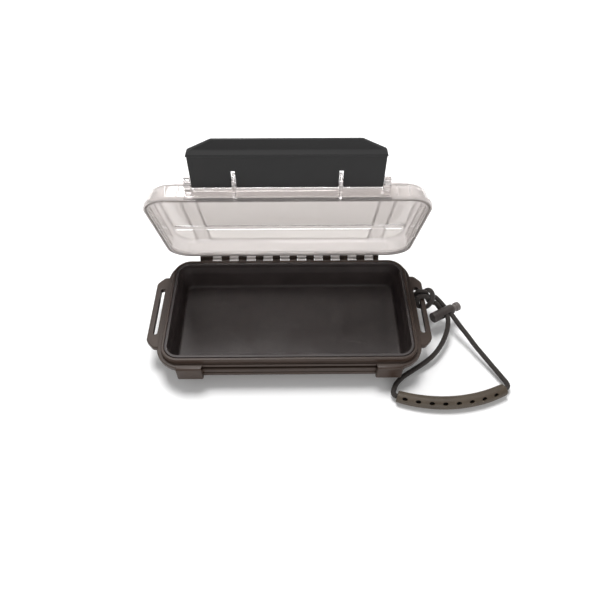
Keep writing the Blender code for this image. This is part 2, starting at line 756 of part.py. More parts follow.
# Grip: a curved tube over the bottom of the lanyard loop
chord = grip_finish - grip_start
grip_middle = (grip_start + grip_finish) / 2
bow_radius = ((chord.length / 2) ** 2 + grip_sag ** 2) / (2 * grip_sag)
bow_side = Vector((chord.y, -chord.x, 0)).normalized()
bow_center = grip_middle - bow_side * (bow_radius - grip_sag)
bow_half = math.asin(chord.length / 2 / bow_radius)
bow_length = 2 * bow_half * bow_radius
bow_axis = math.atan2(bow_side.y, bow_side.x)


# Point, direction and outward side of the grip's centre line, at a distance from its start.
def bow_frame(distance):
    angle = bow_axis - bow_half + distance / bow_radius
    outward = Vector((math.cos(angle), math.sin(angle), 0))
    point = bow_center + outward * bow_radius
    along = Vector((-outward.y, outward.x, 0))
    return point, along, outward


grip_stations = 16
grip_sides = 14
bore_radius = cord_radius + bore_clearance
outer_rings = []
inner_rings = []
for station in range(grip_stations + 1):
    share = station / grip_stations
    point, along, outward = bow_frame(bow_length * share)
    swell = math.sin(math.pi * share) ** 0.5
    radius = grip_end_radius + (grip_radius - grip_end_radius) * swell
    for rings, ring_radius in ((outer_rings, radius), (inner_rings, bore_radius)):
        ring = []
        for side in range(grip_sides):
            angle = 2 * math.pi * side / grip_sides
            ring.append(point + ring_radius * (math.cos(angle) * outward + math.sin(angle) * Vector((0, 0, 1))))
        rings.append(ring)
end_round = 0.9 * mm


# End ring drawn in a little, which rounds the rim of the tube.
def eased_ring(rings, at, direction):
    center = sum(rings[at], Vector((0, 0, 0))) / len(rings[at])
    return [center + (vertex - center) * 0.82 + direction * end_round * 0.6 for vertex in rings[at]]


first_direction = -bow_frame(0)[1]
last_direction = bow_frame(bow_length)[1]
lanyard_grip = loft(
    "lanyard_grip",
    outer_rings + [eased_ring(outer_rings, -1, last_direction)]
    + [[vertex + last_direction * end_round * 0.6 for vertex in inner_rings[-1]]] + inner_rings[::-1]
    + [[vertex + first_direction * end_round * 0.6 for vertex in inner_rings[0]]]
    + [eased_ring(outer_rings, 0, first_direction)],
    grip_rubber, closed=True)
for number in range(grip_holes):
    point, along, outward = bow_frame(grip_first_hole + number * grip_hole_pitch)
    hole_axis = (outward * math.cos(grip_hole_tilt) + Vector((0, 0, 1)) * math.sin(grip_hole_tilt)).normalized()
    across = hole_axis.cross(along)
    builder = bmesh.new()
    inner_row = []
    outer_row = []
    for side in range(12):
        angle = 2 * math.pi * side / 12
        offset = along * math.cos(angle) * grip_hole_length / 2 + across * math.sin(angle) * grip_hole_width / 2
        inner_row.append(builder.verts.new(point + offset + hole_axis * bore_radius * 0.5))
        outer_row.append(builder.verts.new(point + offset + hole_axis * (grip_radius + 2 * mm)))
    builder.faces.new(inner_row)
    builder.faces.new(outer_row)
    for side in range(12):
        after = (side + 1) % 12
        builder.faces.new((inner_row[side], inner_row[after], outer_row[after], outer_row[side]))
    hole = finish("guide_grip_hole_%d" % number, builder)
    combine(lanyard_grip, hole, "DIFFERENCE")

# Cord lock: a barrel with a sprung plunger, both with a cross hole for the two strands
lock_place = bpy.data.objects.new("lock_place", None)
lock_place.location = lock_centre
lock_place.rotation_euler = (0, 0, lock_turn)
bpy.context.scene.collection.objects.link(lock_place)
barrel_bore = lock_radius - lock_wall
plunger_radius = barrel_bore - plunger_clearance
strand_offset = cord_radius + strand_gap / 2
hole_half = strand_offset + cord_radius + bore_clearance
hole_height = cord_radius + bore_clearance


# Solid turned about x from (x, radius) points that run from one end to the other.
def turned(name, profile, look, sides=20):
    builder = bmesh.new()
    rows = []
    for x, radius in profile:
        row = []
        for side in range(sides):
            angle = 2 * math.pi * side / sides
            row.append(builder.verts.new((x, radius * math.cos(angle), radius * math.sin(angle))))
        rows.append(row)
    for lower, upper in zip(rows, rows[1:]):
        for side in range(sides):
            after = (side + 1) % sides
            builder.faces.new((lower[side], lower[after], upper[after], upper[side]))
    builder.faces.new(rows[0])
    builder.faces.new(rows[-1])
    return finish(name, builder, look)


blind_end = -lock_back + 1.2 * mm
cord_lock_barrel = turned("cord_lock_barrel", [
    (-lock_back, lock_radius - 1.2 * mm),
    (-lock_back + 0.4 * mm, lock_radius - 0.4 * mm),
    (-lock_back + 1.2 * mm, lock_radius),
    (lock_front - 0.6 * mm, lock_radius),
    (lock_front, lock_radius - 0.5 * mm),
    (lock_front, barrel_bore),
    (blind_end, barrel_bore),
], lock_plastic)
hang(cord_lock_barrel, lock_place)


def strand_hole(name, low, high):
    corners = [
        (low, -hole_height, hole_height * 0.9),
        (high, -hole_height, hole_height * 0.9),
        (high, hole_height, hole_height * 0.9),
        (low, hole_height, hole_height * 0.9),
    ]
    made = prism(name, rounded_outline(corners), "y", -3 * lock_radius, 3 * lock_radius)
    hang(made, lock_place)
    return made


combine(cord_lock_barrel, strand_hole("guide_barrel_hole", -hole_half - lock_travel, hole_half), "DIFFERENCE")
knob_start = lock_front + knob_gap
cord_lock_plunger = turned("cord_lock_plunger", [
    (-plunger_back, plunger_radius - 0.4 * mm),
    (-plunger_back + 0.4 * mm, plunger_radius),
    (knob_start - 0.4 * mm, plunger_radius),
    (knob_start, knob_radius - 0.4 * mm),
    (knob_start + 0.5 * mm, knob_radius),
    (knob_start + knob_length - 0.8 * mm, knob_radius),
    (knob_start + knob_length, knob_radius - 0.9 * mm),
], lock_plastic)
hang(cord_lock_plunger, lock_place)
combine(cord_lock_plunger, strand_hole("guide_plunger_hole", -hole_half, hole_half + lock_travel), "DIFFERENCE")

# Spring between the barrel's blind end and the plunger
spring_start = blind_end + spring_wire + 0.25 * mm
spring_end = -plunger_back - spring_wire - 0.25 * mm
spring_radius = barrel_bore - spring_wire - 0.45 * mm
spring_curve = bpy.data.curves.new("cord_lock_spring", "CURVE")
spring_curve.dimensions = "3D"
spring_curve.bevel_depth = spring_wire
spring_curve.bevel_resolution = 1
spring_curve.use_fill_caps = True
coil_points = 1 + int(10 * spring_turns)
coil = spring_curve.splines.new("POLY")
coil.points.add(coil_points - 1)
for index in range(coil_points):
    share = index / (coil_points - 1)
    angle = 2 * math.pi * spring_turns * share
    x = spring_start + (spring_end - spring_start) * share
    coil.points[index].co = (x, spring_radius * math.cos(angle), spring_radius * math.sin(angle), 1)
cord_lock_spring = bpy.data.objects.new("cord_lock_spring", spring_curve)
spring_curve.materials.append(bright_steel)
bpy.context.scene.collection.objects.link(cord_lock_spring)
hang(cord_lock_spring, lock_place)

# Cord: one length that starts in the grip, runs through the lock, hitches round the handle and returns
lock_along = Vector((math.cos(lock_turn), math.sin(lock_turn), 0))
lock_across = Vector((math.sin(lock_turn), -math.cos(lock_turn), 0))
strand_in_a = lock_centre - lock_along * strand_offset
strand_in_b = lock_centre + lock_along * strand_offset
strand_run = lock_radius + 0.6 * mm
hitch_y = 14.0 * mm
bar_middle = handle_out - handle_bar / 2
bar_height = (handle_top + handle_bottom) / 2
# Half of the hitch, as (x from the bar, y from the hitch, z from the bar) in millimetres
hitch_half = (
    (12.4, -3.7, -3.6), (8.9, -2.9, -2.8), (5.9, -2.4, -1.1), (4.5, -2.4, 1.5), (3.3, -2.5, 3.8),
    (0.6, -2.6, 4.75), (-3.1, -2.8, 4.3), (-4.2, -3.2, 1.8), (-4.2, -4.0, -1.6), (-3.1, -5.0, -4.3),
    (-0.2, -6.0, -4.8), (2.9, -6.9, -4.2), (4.5, -7.6, -1.9), (5.6, -7.5, 0.6), (7.2, -6.3, 2.2),
    (8.5, -3.6, 3.1), (8.9, 0.0, 3.2),
)


def hitch_point(x, y, z):
    return Vector((bar_middle + x * mm, hitch_y + y * mm, bar_height + z * mm))


inside_a = [bow_frame(bow_length * share)[0] for share in (0.485, 0.36, 0.24, 0.12, 0.03)]
inside_b = [bow_frame(bow_length * share)[0] for share in (0.97, 0.88, 0.76, 0.64, 0.515)]
leg_a = [Vector(point) * mm for point in (
    (82.2, -69.7, 4.75), (80.9, -68.5, 4.75), (80.55, -66.6, 4.75), (81.3, -64.2, 4.8), (84.2, -58.6, 4.9),
    (89.6, -53.2, 5.0), (98.2, -47.4, 5.3), (107.4, -41.6, 6.2),
    (116.6, -34.6, 7.7), (124.1, -25.6, 9.5), (129.2, -16.4, 11.6), (131.6, -9.4, 13.6),
)]
leg_b = [Vector(point) * mm for point in (
    (141.0, -8.4, 13.6), (146.0, -16.4, 11.6), (152.1, -27.4, 9.3), (158.3, -37.4, 7.4), (164.2, -47.2, 5.9),
    (168.4, -54.4, 5.1), (170.7, -59.0, 4.85), (171.2, -61.2, 4.75), (170.5, -62.9, 4.75), (168.8, -64.2, 4.75),
)]
route = inside_a + leg_a
route += [strand_in_a + lock_across * strand_run, strand_in_a, strand_in_a - lock_across * strand_run]
route += [hitch_point(*point) for point in hitch_half]
route += [hitch_point(x, -y, z) for x, y, z in hitch_half[-2::-1]]
route += [strand_in_b - lock_across * strand_run, strand_in_b, strand_in_b + lock_across * strand_run]
route += leg_b + inside_b


# Point on the smooth curve between two route points, by the centripetal rule.
def smooth_point(points, index, share):
    p1 = points[index]
    p2 = points[index + 1]
    p0 = points[index - 1] if index > 0 else p1 * 2 - p2
    p3 = points[index + 2] if index + 2 < len(points) else p2 * 2 - p1
    t0 = 0.0
    t1 = t0 + math.sqrt((p1 - p0).length)
    t2 = t1 + math.sqrt((p2 - p1).length)
    t3 = t2 + math.sqrt((p3 - p2).length)
    t = t1 + (t2 - t1) * share
    a1 = p0 * ((t1 - t) / (t1 - t0)) + p1 * ((t - t0) / (t1 - t0))
    a2 = p1 * ((t2 - t) / (t2 - t1)) + p2 * ((t - t1) / (t2 - t1))
    a3 = p2 * ((t3 - t) / (t3 - t2)) + p3 * ((t - t2) / (t3 - t2))
    b1 = a1 * ((t2 - t) / (t2 - t0)) + a2 * ((t - t0) / (t2 - t0))
    b2 = a2 * ((t3 - t) / (t3 - t1)) + a3 * ((t - t1) / (t3 - t1))
    return b1 * ((t2 - t) / (t2 - t1)) + b2 * ((t - t1) / (t2 - t1))


dense = []
for index in range(len(route) - 1):
    for step in range(12):
        dense.append(smooth_point(route, index, step / 12))
dense.append(route[-1])
# Points stand closer where the cord bends sharply
chosen = [dense[0]]
travel = 0.0
turned_by = 0.0
for index in range(1, len(dense) - 1):
    travel += (dense[index] - dense[index - 1]).length
    turned_by += (dense[index] - dense[index - 1]).angle(dense[index + 1] - dense[index], 0.0)
    if travel >= 9.0 * mm or turned_by >= math.radians(33):
        chosen.append(dense[index])
        travel = 0.0
        turned_by = 0.0
chosen.append(dense[-1])
cord_curve = bpy.data.curves.new("lanyard_cord", "CURVE")
cord_curve.dimensions = "3D"
cord_curve.bevel_depth = cord_radius
cord_curve.bevel_resolution = 2
cord_curve.use_fill_caps = True
cord_line = cord_curve.splines.new("POLY")
cord_line.points.add(len(chosen) - 1)
for index, point in enumerate(chosen):
    cord_line.points[index].co = (*point, 1)
lanyard_cord = bpy.data.objects.new("lanyard_cord", cord_curve)
cord_curve.materials.append(black_cord)
bpy.context.scene.collection.objects.link(lanyard_cord)
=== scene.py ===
import math

import bmesh
import bpy
from mathutils import Matrix, Vector


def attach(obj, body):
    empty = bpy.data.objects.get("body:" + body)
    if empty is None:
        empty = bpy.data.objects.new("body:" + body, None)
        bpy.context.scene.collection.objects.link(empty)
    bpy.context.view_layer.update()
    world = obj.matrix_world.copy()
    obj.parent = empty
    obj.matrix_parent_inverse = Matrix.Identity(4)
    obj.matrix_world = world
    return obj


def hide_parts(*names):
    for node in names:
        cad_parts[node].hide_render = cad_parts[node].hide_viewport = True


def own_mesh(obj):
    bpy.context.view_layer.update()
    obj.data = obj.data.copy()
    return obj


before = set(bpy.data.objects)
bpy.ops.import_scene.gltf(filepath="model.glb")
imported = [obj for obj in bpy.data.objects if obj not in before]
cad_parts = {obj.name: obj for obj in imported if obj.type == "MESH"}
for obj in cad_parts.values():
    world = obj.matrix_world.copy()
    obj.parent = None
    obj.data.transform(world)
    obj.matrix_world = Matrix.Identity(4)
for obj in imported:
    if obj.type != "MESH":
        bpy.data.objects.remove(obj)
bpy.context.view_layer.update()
mm = 0.001


def addObject(name, data):
    made = bpy.data.objects.new(name, data)
    bpy.context.scene.collection.objects.link(made)
    return made


# camera at the photograph's viewpoint

camera = {
    "position": (5.3, -274.1, 379.8),
    "tilt": 38.677,  # degrees up from looking straight down
    "roll": -0.081,
    "turn": -0.577,
    "lens": 32.59,
    "sensor": 36.0,
    "clip": (0.01, 20),
}


def addCamera(settings):
    data = bpy.data.cameras.new("photoCamera")
    data.lens = settings["lens"]
    data.sensor_width = settings["sensor"]
    data.clip_start, data.clip_end = settings["clip"]
    made = addObject("photoCamera", data)
    made.location = Vector(settings["position"]) * mm
    made.rotation_euler = [math.radians(settings[key]) for key in ("tilt", "roll", "turn")]
    bpy.context.scene.camera = made


addCamera(camera)
print("camera placed")

# small node helpers for the finishes


def fill(node, values):
    # each input gets a fixed value or the output of another node
    for key, value in values.items():
        socket = node.inputs[key]
        if isinstance(value, bpy.types.NodeSocket):
            node.id_data.links.new(value, socket)
        else:
            socket.default_value = (*value, 1) if socket.type == "RGBA" else value


def addNode(tree, kind, values, **settings):
    node = tree.nodes.new("ShaderNode" + kind)
    for key, value in settings.items():
        setattr(node, key, value)
    fill(node, values)
    return node


def startFinish(name):
    made = bpy.data.materials.new(name)
    made.use_nodes = True
    return made, made.node_tree, made.node_tree.nodes["Principled BSDF"]


def objectCoords(tree):
    return addNode(tree, "TexCoord", {}).outputs["Object"]


def addNoise(tree, coords, scale, detail):
    values = {"Vector": coords, "Scale": scale, "Detail": detail, "Roughness": 0.55}
    return addNode(tree, "TexNoise", values).outputs["Fac"]


def addRange(tree, source, low, high, start=0.3, end=0.7):
    # noise keeps between 0.3 and 0.7 nearly everywhere, so that is the usual span
    values = {"Value": source, "From Min": start, "From Max": end, "To Min": low, "To Max": high}
    return addNode(tree, "MapRange", values).outputs["Result"]


def addBlend(tree, factor, first, second):
    values = {"Factor": factor, "A": first, "B": second}
    return addNode(tree, "Mix", values, data_type="RGBA").outputs["Result"]


def addBump(tree, height, depth):
    return addNode(tree, "Bump", {"Height": height, "Distance": depth}).outputs["Normal"]


def calc(tree, operation, *values):
    return addNode(tree, "Math", dict(enumerate(values)), operation=operation).outputs[0]


def raysOf(tree, *kinds):
    # 1 for the named kinds of ray and 0 for all others
    path = addNode(tree, "LightPath", {})
    seen = path.outputs[kinds[0]]
    for kind in kinds[1:]:
        seen = calc(tree, "MAXIMUM", seen, path.outputs[kind])
    return seen


# finishes

mouldedFinish = {
    "tubPlastic": {
        "dark": (0.031, 0.018, 0.012), "light": (0.047, 0.029, 0.021), "rough": (0.36, 0.48),
        "speckle": 1400.0, "grain": 0.00004, "gloss": 0.30,
    },
    "linerRubber": {
        "dark": (0.024, 0.018, 0.017), "light": (0.042, 0.032, 0.031), "rough": (0.42, 0.56),
        "speckle": 2200.0, "grain": 0.00003, "gloss": 0.4,
    },
    "latchPlastic": {
        "dark": (0.0165, 0.0162, 0.0165), "light": (0.021, 0.0206, 0.0208), "rough": (0.55, 0.66),
        "speckle": 1400.0, "grain": 0.00004, "gloss": 0.25,
    },
    "barrelPlastic": {
        "dark": (0.032, 0.025, 0.023), "light": (0.052, 0.043, 0.040), "rough": (0.34, 0.46),
        "speckle": 2600.0, "grain": 0.00002, "gloss": 0.5,
    },
    "plungerPlastic": {
        "dark": (0.095, 0.082, 0.078), "light": (0.130, 0.115, 0.108), "rough": (0.30, 0.42),
        "speckle": 2600.0, "grain": 0.00002, "gloss": 0.5,
    },
    "sealRubber": {
        "dark": (0.14, 0.12, 0.11), "light": (0.21, 0.185, 0.17), "rough": (0.5, 0.65),
        "speckle": 2600.0, "grain": 0.00003, "gloss": 0.5,
    },
    "gripRubber": {
        "dark": (0.042, 0.029, 0.019), "light": (0.085, 0.066, 0.046), "rough": (0.48, 0.66),
        "speckle": 1800.0, "grain": 0.00008, "gloss": 0.4,
    },
}


def mouldedPlastic(name, look):
    made, tree, shader = startFinish(name)
    coords = objectCoords(tree)
    cloud = addNoise(tree, coords, scale=60.0, detail=4.0)  # slow drift of tone over the moulding
    fine = addNoise(tree, coords, look["speckle"], detail=2.0)  # spark-eroded mould grain
    tone = calc(tree, "ADD", calc(tree, "MULTIPLY", cloud, 0.7), calc(tree, "MULTIPLY", fine, 0.3))
    fill(shader, {
        "Base Color": addBlend(tree, addRange(tree, tone, 0.0, 1.0), look["dark"], look["light"]),
        "Roughness": addRange(tree, cloud, *look["rough"]),
        "Specular IOR Level": look["gloss"],
        "Normal": addBump(tree, fine, look["grain"]),
    })
    return made


clearFinish = {
    "index": 1.52,
    "flow": 0.00006,  # depth of the slow waves that moulding leaves
    # milk is the share that scatters. Each shade is a clearer or milkier copy of the one plastic,
    # painting light and shade zone by zone. Front: with fins and ears. Lower: from cross band to hinge.
    # Slope: sides of the long bands, a darker frosted copy that paints shade on them. Glint: sides of
    # the cross band, and the ceiling under them, a fully clear copy that paints highlights there.
    "wall": {"tint": (0.82, 0.775, 0.755), "milk": 0.34, "rough": (0.05, 0.11)},
    "front": {"tint": (0.88, 0.845, 0.835), "milk": 0.12, "rough": (0.02, 0.06)},
    "panel": {"tint": (0.78, 0.735, 0.71), "milk": 0.36, "rough": (0.04, 0.10)},
    "lower": {"tint": (0.88, 0.85, 0.81), "milk": 0.16, "rough": (0.04, 0.10)},
    # painted shade: the dark lines along the long bands
    "slope": {"tint": (0.40, 0.37, 0.355), "milk": 0.45, "rough": (0.40, 0.50)},
    # painted highlight: the bright lines of the cross band
    "glint": {"tint": (1.0, 1.0, 1.0), "milk": 0.0, "rough": (0.02, 0.05)},
}


def clearPlastic(name, look, shade):
    made, tree, shader = startFinish(name)
    cloud = addNoise(tree, objectCoords(tree), scale=35.0, detail=2.0)
    fill(shader, {
        "Base Color": look[shade]["tint"],
        "Transmission Weight": 1 - look[shade]["milk"],
        "IOR": look["index"],
        "Roughness": addRange(tree, cloud, *look[shade]["rough"]),
        "Normal": addBump(tree, cloud, look["flow"]),
    })
    return made


steelFinish = {
    "dark": (0.50, 0.50, 0.51),
    "light": (0.66, 0.66, 0.67),
    "rough": (0.18, 0.34),
    "stretch": (40, 2500, 2500),  # drawing marks run along the rod
    "depth": 0.000006,
}


def drawnSteel(name, look):
    made, tree, shader = startFinish(name)
    stretch = addNode(tree, "Mapping", {"Vector": objectCoords(tree), "Scale": look["stretch"]})
    marks = addNoise(tree, stretch.outputs["Vector"], scale=1.0, detail=2.0)
    fill(shader, {
        "Base Color": addBlend(tree, marks, look["dark"], look["light"]),
        "Metallic": 1.0,
        "Roughness": addRange(tree, marks, *look["rough"]),
        "Normal": addBump(tree, marks, look["depth"]),
    })
    return made


cordFinish = {
    "thread": (0.027, 0.019, 0.0155),
    # painted shade in the valleys between strands
    "paintedValleyShade": (0.006, 0.005, 0.005),
    "fleck": (0.056, 0.044, 0.037),
    "fleckShare": 0.55,
    "strands": 8,  # helical strands each way round the cord
    "pitch": 0.0075,  # length of cord in which a strand goes once round
    "plump": 0.6,  # below 1 the strands are fuller and the valleys between them narrower
    "depth": 0.00022,
    "rough": 0.72,
    "sheen": 0.12,
    "sheenRough": 0.4,
}


def braidedCord(name, look):
    made, tree, shader = startFinish(name)
    layout = addNode(tree, "UVMap", {}, uv_map="along").outputs["UV"]
    split = addNode(tree, "SeparateXYZ", {"Vector": layout})
    along = calc(tree, "DIVIDE", split.outputs["X"], look["pitch"])
    waves = []
    for way in (1, -1):
        lean = calc(tree, "MULTIPLY", split.outputs["Y"], way)
        turn = calc(tree, "MULTIPLY", calc(tree, "ADD", along, lean), look["strands"])
        wave = calc(tree, "SINE", calc(tree, "MULTIPLY", turn, math.pi))
        waves.append(calc(tree, "ABSOLUTE", wave))
    weave = calc(tree, "POWER", calc(tree, "MULTIPLY", *waves), look["plump"])
    fibres = addNoise(tree, objectCoords(tree), scale=5200.0, detail=3.0)
    # painted shade between the strands, the thread's colour on their crowns
    threads = addBlend(tree, weave, look["paintedValleyShade"], look["thread"])
    flecked = addBlend(tree, addRange(tree, fibres, 0.0, look["fleckShare"]), threads, look["fleck"])
    height = calc(tree, "ADD", weave, calc(tree, "MULTIPLY", fibres, 0.25))
    fill(shader, {
        "Base Color": addBlend(tree, weave, threads, flecked),
        "Roughness": look["rough"],
        "Sheen Weight": look["sheen"],
        "Sheen Roughness": look["sheenRough"],
        "Normal": addBump(tree, height, look["depth"]),
    })
    return made


moulded = {name: mouldedPlastic(name, look) for name, look in mouldedFinish.items()}
lidClear = clearPlastic("lidClear", clearFinish, "wall")
lidShades = {shade: clearPlastic("lid" + shade.capitalize(), clearFinish, shade)
             for shade in ("front", "panel", "lower", "slope", "glint")}
pinSteel = drawnSteel("pinSteel", steelFinish)
cordBraid = braidedCord("cordBraid", cordFinish)
print("finishes mixed")

# shape helpers

bevelAngle = math.radians(40)  # only edges sharper than this are rounded
flatWeight = 90  # how firmly large faces keep their shading flat


def objectFrom(builder, name, finish, sharp=38):
    # edges sharper than so many degrees stay sharp
    bmesh.ops.recalc_face_normals(builder, faces=builder.faces)
    mesh = bpy.data.meshes.new(name)
    builder.to_mesh(mesh)
    builder.free()
    mesh.shade_smooth()
    mesh.set_sharp_from_angle(angle=math.radians(sharp))
    if finish:
        mesh.materials.append(finish)
    return addObject(name, mesh)


def softCorners(corners, steps=5, closed=False):
    # (a, b, radius) corners become a line whose corners are arcs
    line = []
    count = len(corners)
    for index, (a, b, radius) in enumerate(corners):
        here = Vector((a, b))
        if radius <= 0 or (not closed and index in (0, count - 1)):
            line.append(here)
            continue
        before = Vector(corners[index - 1][:2]) - here
        after = Vector(corners[(index + 1) % count][:2]) - here
        half = before.angle(after) / 2
        reach = min(radius / math.tan(half), 0.48 * before.length, 0.48 * after.length)
        inner = reach * math.tan(half)
        start = here + before.normalized() * reach
        end = here + after.normalized() * reach
        between = (before.normalized() + after.normalized()).normalized()
        middle = here + between * (inner / math.sin(half))
        first = start - middle
        turn = -first.angle_signed(end - middle)
        for step in range(steps + 1):
            line.append(middle + Matrix.Rotation(turn * step / steps, 2) @ first)
    return line


def arcLine(centreA, centreB, radius, fromDegrees, toDegrees, steps):
    line = []
    for step in range(steps + 1):
        angle = math.radians(fromDegrees + (toDegrees - fromDegrees) * step / steps)
        line.append(Vector((centreA + radius * math.cos(angle), centreB + radius * math.sin(angle))))
    return line


def ringAngles(sides):
    return [2 * math.pi * side / sides for side in range(sides)]


def clamped(share):
    return min(max(share, 0.0), 1.0)


rimShape = {"halfX": 100.0, "halfY": 51.5, "corner": 14.5, "leastCorner": 0.8, "cornerSteps": 14}


def roundedLoop(reach, height, shiftY=0.0, extra=0.0):
    # rounded rectangle, reach outside the rim's outline, with corners rounder by extra
    radius = max(rimShape["corner"] + reach + extra, rimShape["leastCorner"])
    centreX = rimShape["halfX"] + reach - radius
    centreY = rimShape["halfY"] + reach - radius
    points = []
    for corner, (sideX, sideY) in enumerate(((1, 1), (-1, 1), (-1, -1), (1, -1))):
        for step in range(rimShape["cornerSteps"] + 1):
            angle = math.pi / 2 * (corner + step / rimShape["cornerSteps"])
            x = sideX * centreX + radius * math.cos(angle)
            y = sideY * centreY + radius * math.sin(angle)
            points.append(Vector((x, y + shiftY, height)) * mm)
    return points


def joinRows(builder, lower, upper):
    # one belt of faces between two rings of vertices
    for index in range(len(lower)):
        after = (index + 1) % len(lower)
        builder.faces.new((lower[index], lower[after], upper[after], upper[index]))


def skinLoops(name, loops, finish, closed=False, sharp=38):
    builder = bmesh.new()
    rows = [[builder.verts.new(point) for point in loop] for loop in loops]
    for lower, upper in zip(rows, rows[1:]):
        joinRows(builder, lower, upper)
    if closed:
        joinRows(builder, rows[-1], rows[0])
    else:
        builder.faces.new(rows[0])
        builder.faces.new(rows[-1])
    return objectFrom(builder, name, finish, sharp)


def fillBetween(builder, first, second):
    # two outlines become caps, with a belt of faces between them
    rows = [[builder.verts.new(point) for point in points] for points in (first, second)]
    caps = [builder.faces.new(row) for row in rows]
    joinRows(builder, *rows)
    return caps


def placed(axis, at, a, b):
    return Vector({"x": (at, a, b), "y": (a, at, b), "z": (a, b, at)}[axis]) * mm


def prism(name, outline, axis, start, end, finish, edge=0.0, edgeSteps=3):
    # outline in millimetres, pushed along x, y or z from start to end
    builder = bmesh.new()
    ends = [[placed(axis, at, *point) for point in outline] for at in (start, end)]
    caps = fillBetween(builder, *ends)
    bmesh.ops.recalc_face_normals(builder, faces=builder.faces)
    if edge > 0:
        rims = [line for cap in caps for line in cap.edges]
        bmesh.ops.bevel(builder, geom=rims, offset=edge * mm, segments=edgeSteps, profile=0.5,
                        affect="EDGES")
    return objectFrom(builder, name, finish)


def boxCorners(low, high):
    return [(low[0], low[1]), (high[0], low[1]), (high[0], high[1]), (low[0], high[1])]


def softBox(low, high, radius):
    return softCorners([(*corner, radius) for corner in boxCorners(low, high)], 6, True)


def slab(name, low, high):
    return prism(name, boxCorners(low, high), "z", low[2], high[2], None)


def turned(name, profile, finish, sides=48):
    # (x, radius) profile in millimetres, turned about the x axis
    loops = [[Vector((x, radius * math.cos(a), radius * math.sin(a))) * mm for a in ringAngles(sides)]
             for x, radius in profile]
    return skinLoops(name, loops, finish)


def cutAndJoin(target, steps, edge=0.0, edgeSteps=2, sharp=38):
    # booleans in order, an optional fine bevel, then the result becomes plain mesh
    for tool, operation in steps:
        step = target.modifiers.new(tool.name, "BOOLEAN")
        step.operation = operation
        step.solver = "EXACT"
        step.object = tool
    if edge > 0:
        rounding = target.modifiers.new("edge", "BEVEL")
        rounding.width = edge * mm
        rounding.segments = edgeSteps
        rounding.limit_method = "ANGLE"
        rounding.angle_limit = bevelAngle
        rounding.miter_outer = "MITER_ARC"
    bpy.context.view_layer.update()
    shown = target.evaluated_get(bpy.context.evaluated_depsgraph_get())
    fresh = bpy.data.meshes.new_from_object(shown)
    target.modifiers.clear()
    target.data = fresh
    fresh.name = target.name
    fresh.shade_smooth()
    fresh.set_sharp_from_angle(angle=math.radians(sharp))
    flat = target.modifiers.new("flatFaces", "WEIGHTED_NORMAL")
    flat.keep_sharp = True
    flat.weight = flatWeight
    for tool, _ in steps:
        bpy.data.objects.remove(tool, do_unlink=True)
    return target


def moved(place):
    return Matrix.Translation(Vector(place) * mm)


def tipped(degrees, axis="X"):
    return Matrix.Rotation(math.radians(degrees), 4, axis)


def settle(piece, place):
    piece.data.transform(place)
    return piece


def dress(piece, body, slot, *nodes):
    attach(piece, body)
    if nodes:
        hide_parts(*nodes)


# steel pins with soft tips, and the bores that they turn in

pin = {
    "tip": ((0.4, 0.55), (0.55, 0.8), (0.8, 0.9)),  # distance from the end, and radius there
    "bore": 1.2,
    "sides": 24,
}


def makePin(name, start, end, place):
    profile = [(start + inset, radius) for inset, radius in pin["tip"]]
    profile += [(end - inset, radius) for inset, radius in reversed(pin["tip"])]
    return settle(turned(name, profile, pinSteel, pin["sides"]), place)


def boreStep(start, end, place=Matrix.Identity(4)):
    tool = turned("boreTool", [(start, pin["bore"]), (end, pin["bore"])], None, pin["sides"])
    return settle(tool, place), "DIFFERENCE"


# tub: wall, flange and raised sealing rim in one skin

tub = {
    "rimTop": 29.0,
    "rimWide": 2.4,
    "seatDeep": 1.5,  # step inside the rim, filled by the liner's lip
    "seatEnd": 3.2,
    "flangeTop": 24.5,
    "flangeReach": 4.0,
    "flangeCorner": 2.5,  # how much rounder the flange's corners are than the rim's
    "flangeBottom": 19.9,
    "wallIn": 3.0,
    "draft": 2.0,
    "inside": (3.6, 5.2, 7.0),  # inner wall at the rim, at the flange and at the floor
    "floor": 2.4,
    "groove": (6.0, 14.0),  # round the underside, from and to, measured from its edge
    "grooveDeep": 0.6,
    "grooveSlant": 0.4,
    "underIn": 40.0,
}


def makeTubSkin(size):
    foot = -size["wallIn"] - size["draft"]
    reach = size["flangeReach"]
    seat = size["rimTop"] - size["seatDeep"]
    groove = size["groove"]
    slant = size["grooveSlant"]
    atRim, atFlange, atFloor = (-inside for inside in size["inside"])
    profile = [
        (foot - size["underIn"], 0.0, 0),
        (foot - groove[1], 0.0, 0.3),
        (foot - groove[1] + slant, size["grooveDeep"], 0.3),
        (foot - groove[0] - slant, size["grooveDeep"], 0.3),
        (foot - groove[0], 0.0, 0.3),
        (foot, 0.0, 1.6),
        (-size["wallIn"], size["flangeBottom"] - 0.1, 0.7),
        (reach, size["flangeBottom"], 1.0),
        (reach, size["flangeTop"], 0.7),
        (0.0, size["flangeTop"], 0.5),
        (0.0, size["rimTop"], 0.7),
        (-size["rimWide"], size["rimTop"], 0.35),
        (-size["rimWide"], seat, 0.15),
        (atRim, seat, 0.2),
        (atRim, size["rimTop"] - size["seatEnd"], 0.6),
        (atFlange, size["flangeBottom"], 3.0),
        (atFloor, size["floor"], 1.6),
        (atFloor - 12.0, size["floor"], 0),
    ]
    loops = []
    for out, height in softCorners(profile, 4):
        loops.append(roundedLoop(out, height, 0.0, size["flangeCorner"] * clamped(out / reach)))
    return skinLoops("tubSkin", loops, moulded["tubPlastic"])


tubSkin = makeTubSkin(tub)

front = {
    "bayHalf": 67.2,  # the flange is cut back between the lugs, so that the latch finds room
    "bayFace": -53.0,
    "lipLow": 22.2,
    "lipFace": -51.9,
    "ledgeLow": 11.5,
    "ledgeHigh": 20.3,
    "ledgeReach": 2.6,
    "grooveLow": 14.85,
    "grooveHigh": 16.15,
    "grooveDepth": 0.7,
    "lugLength": 19.8,
    "lugReach": 5.8,
    "lugLow": 9.5,
}


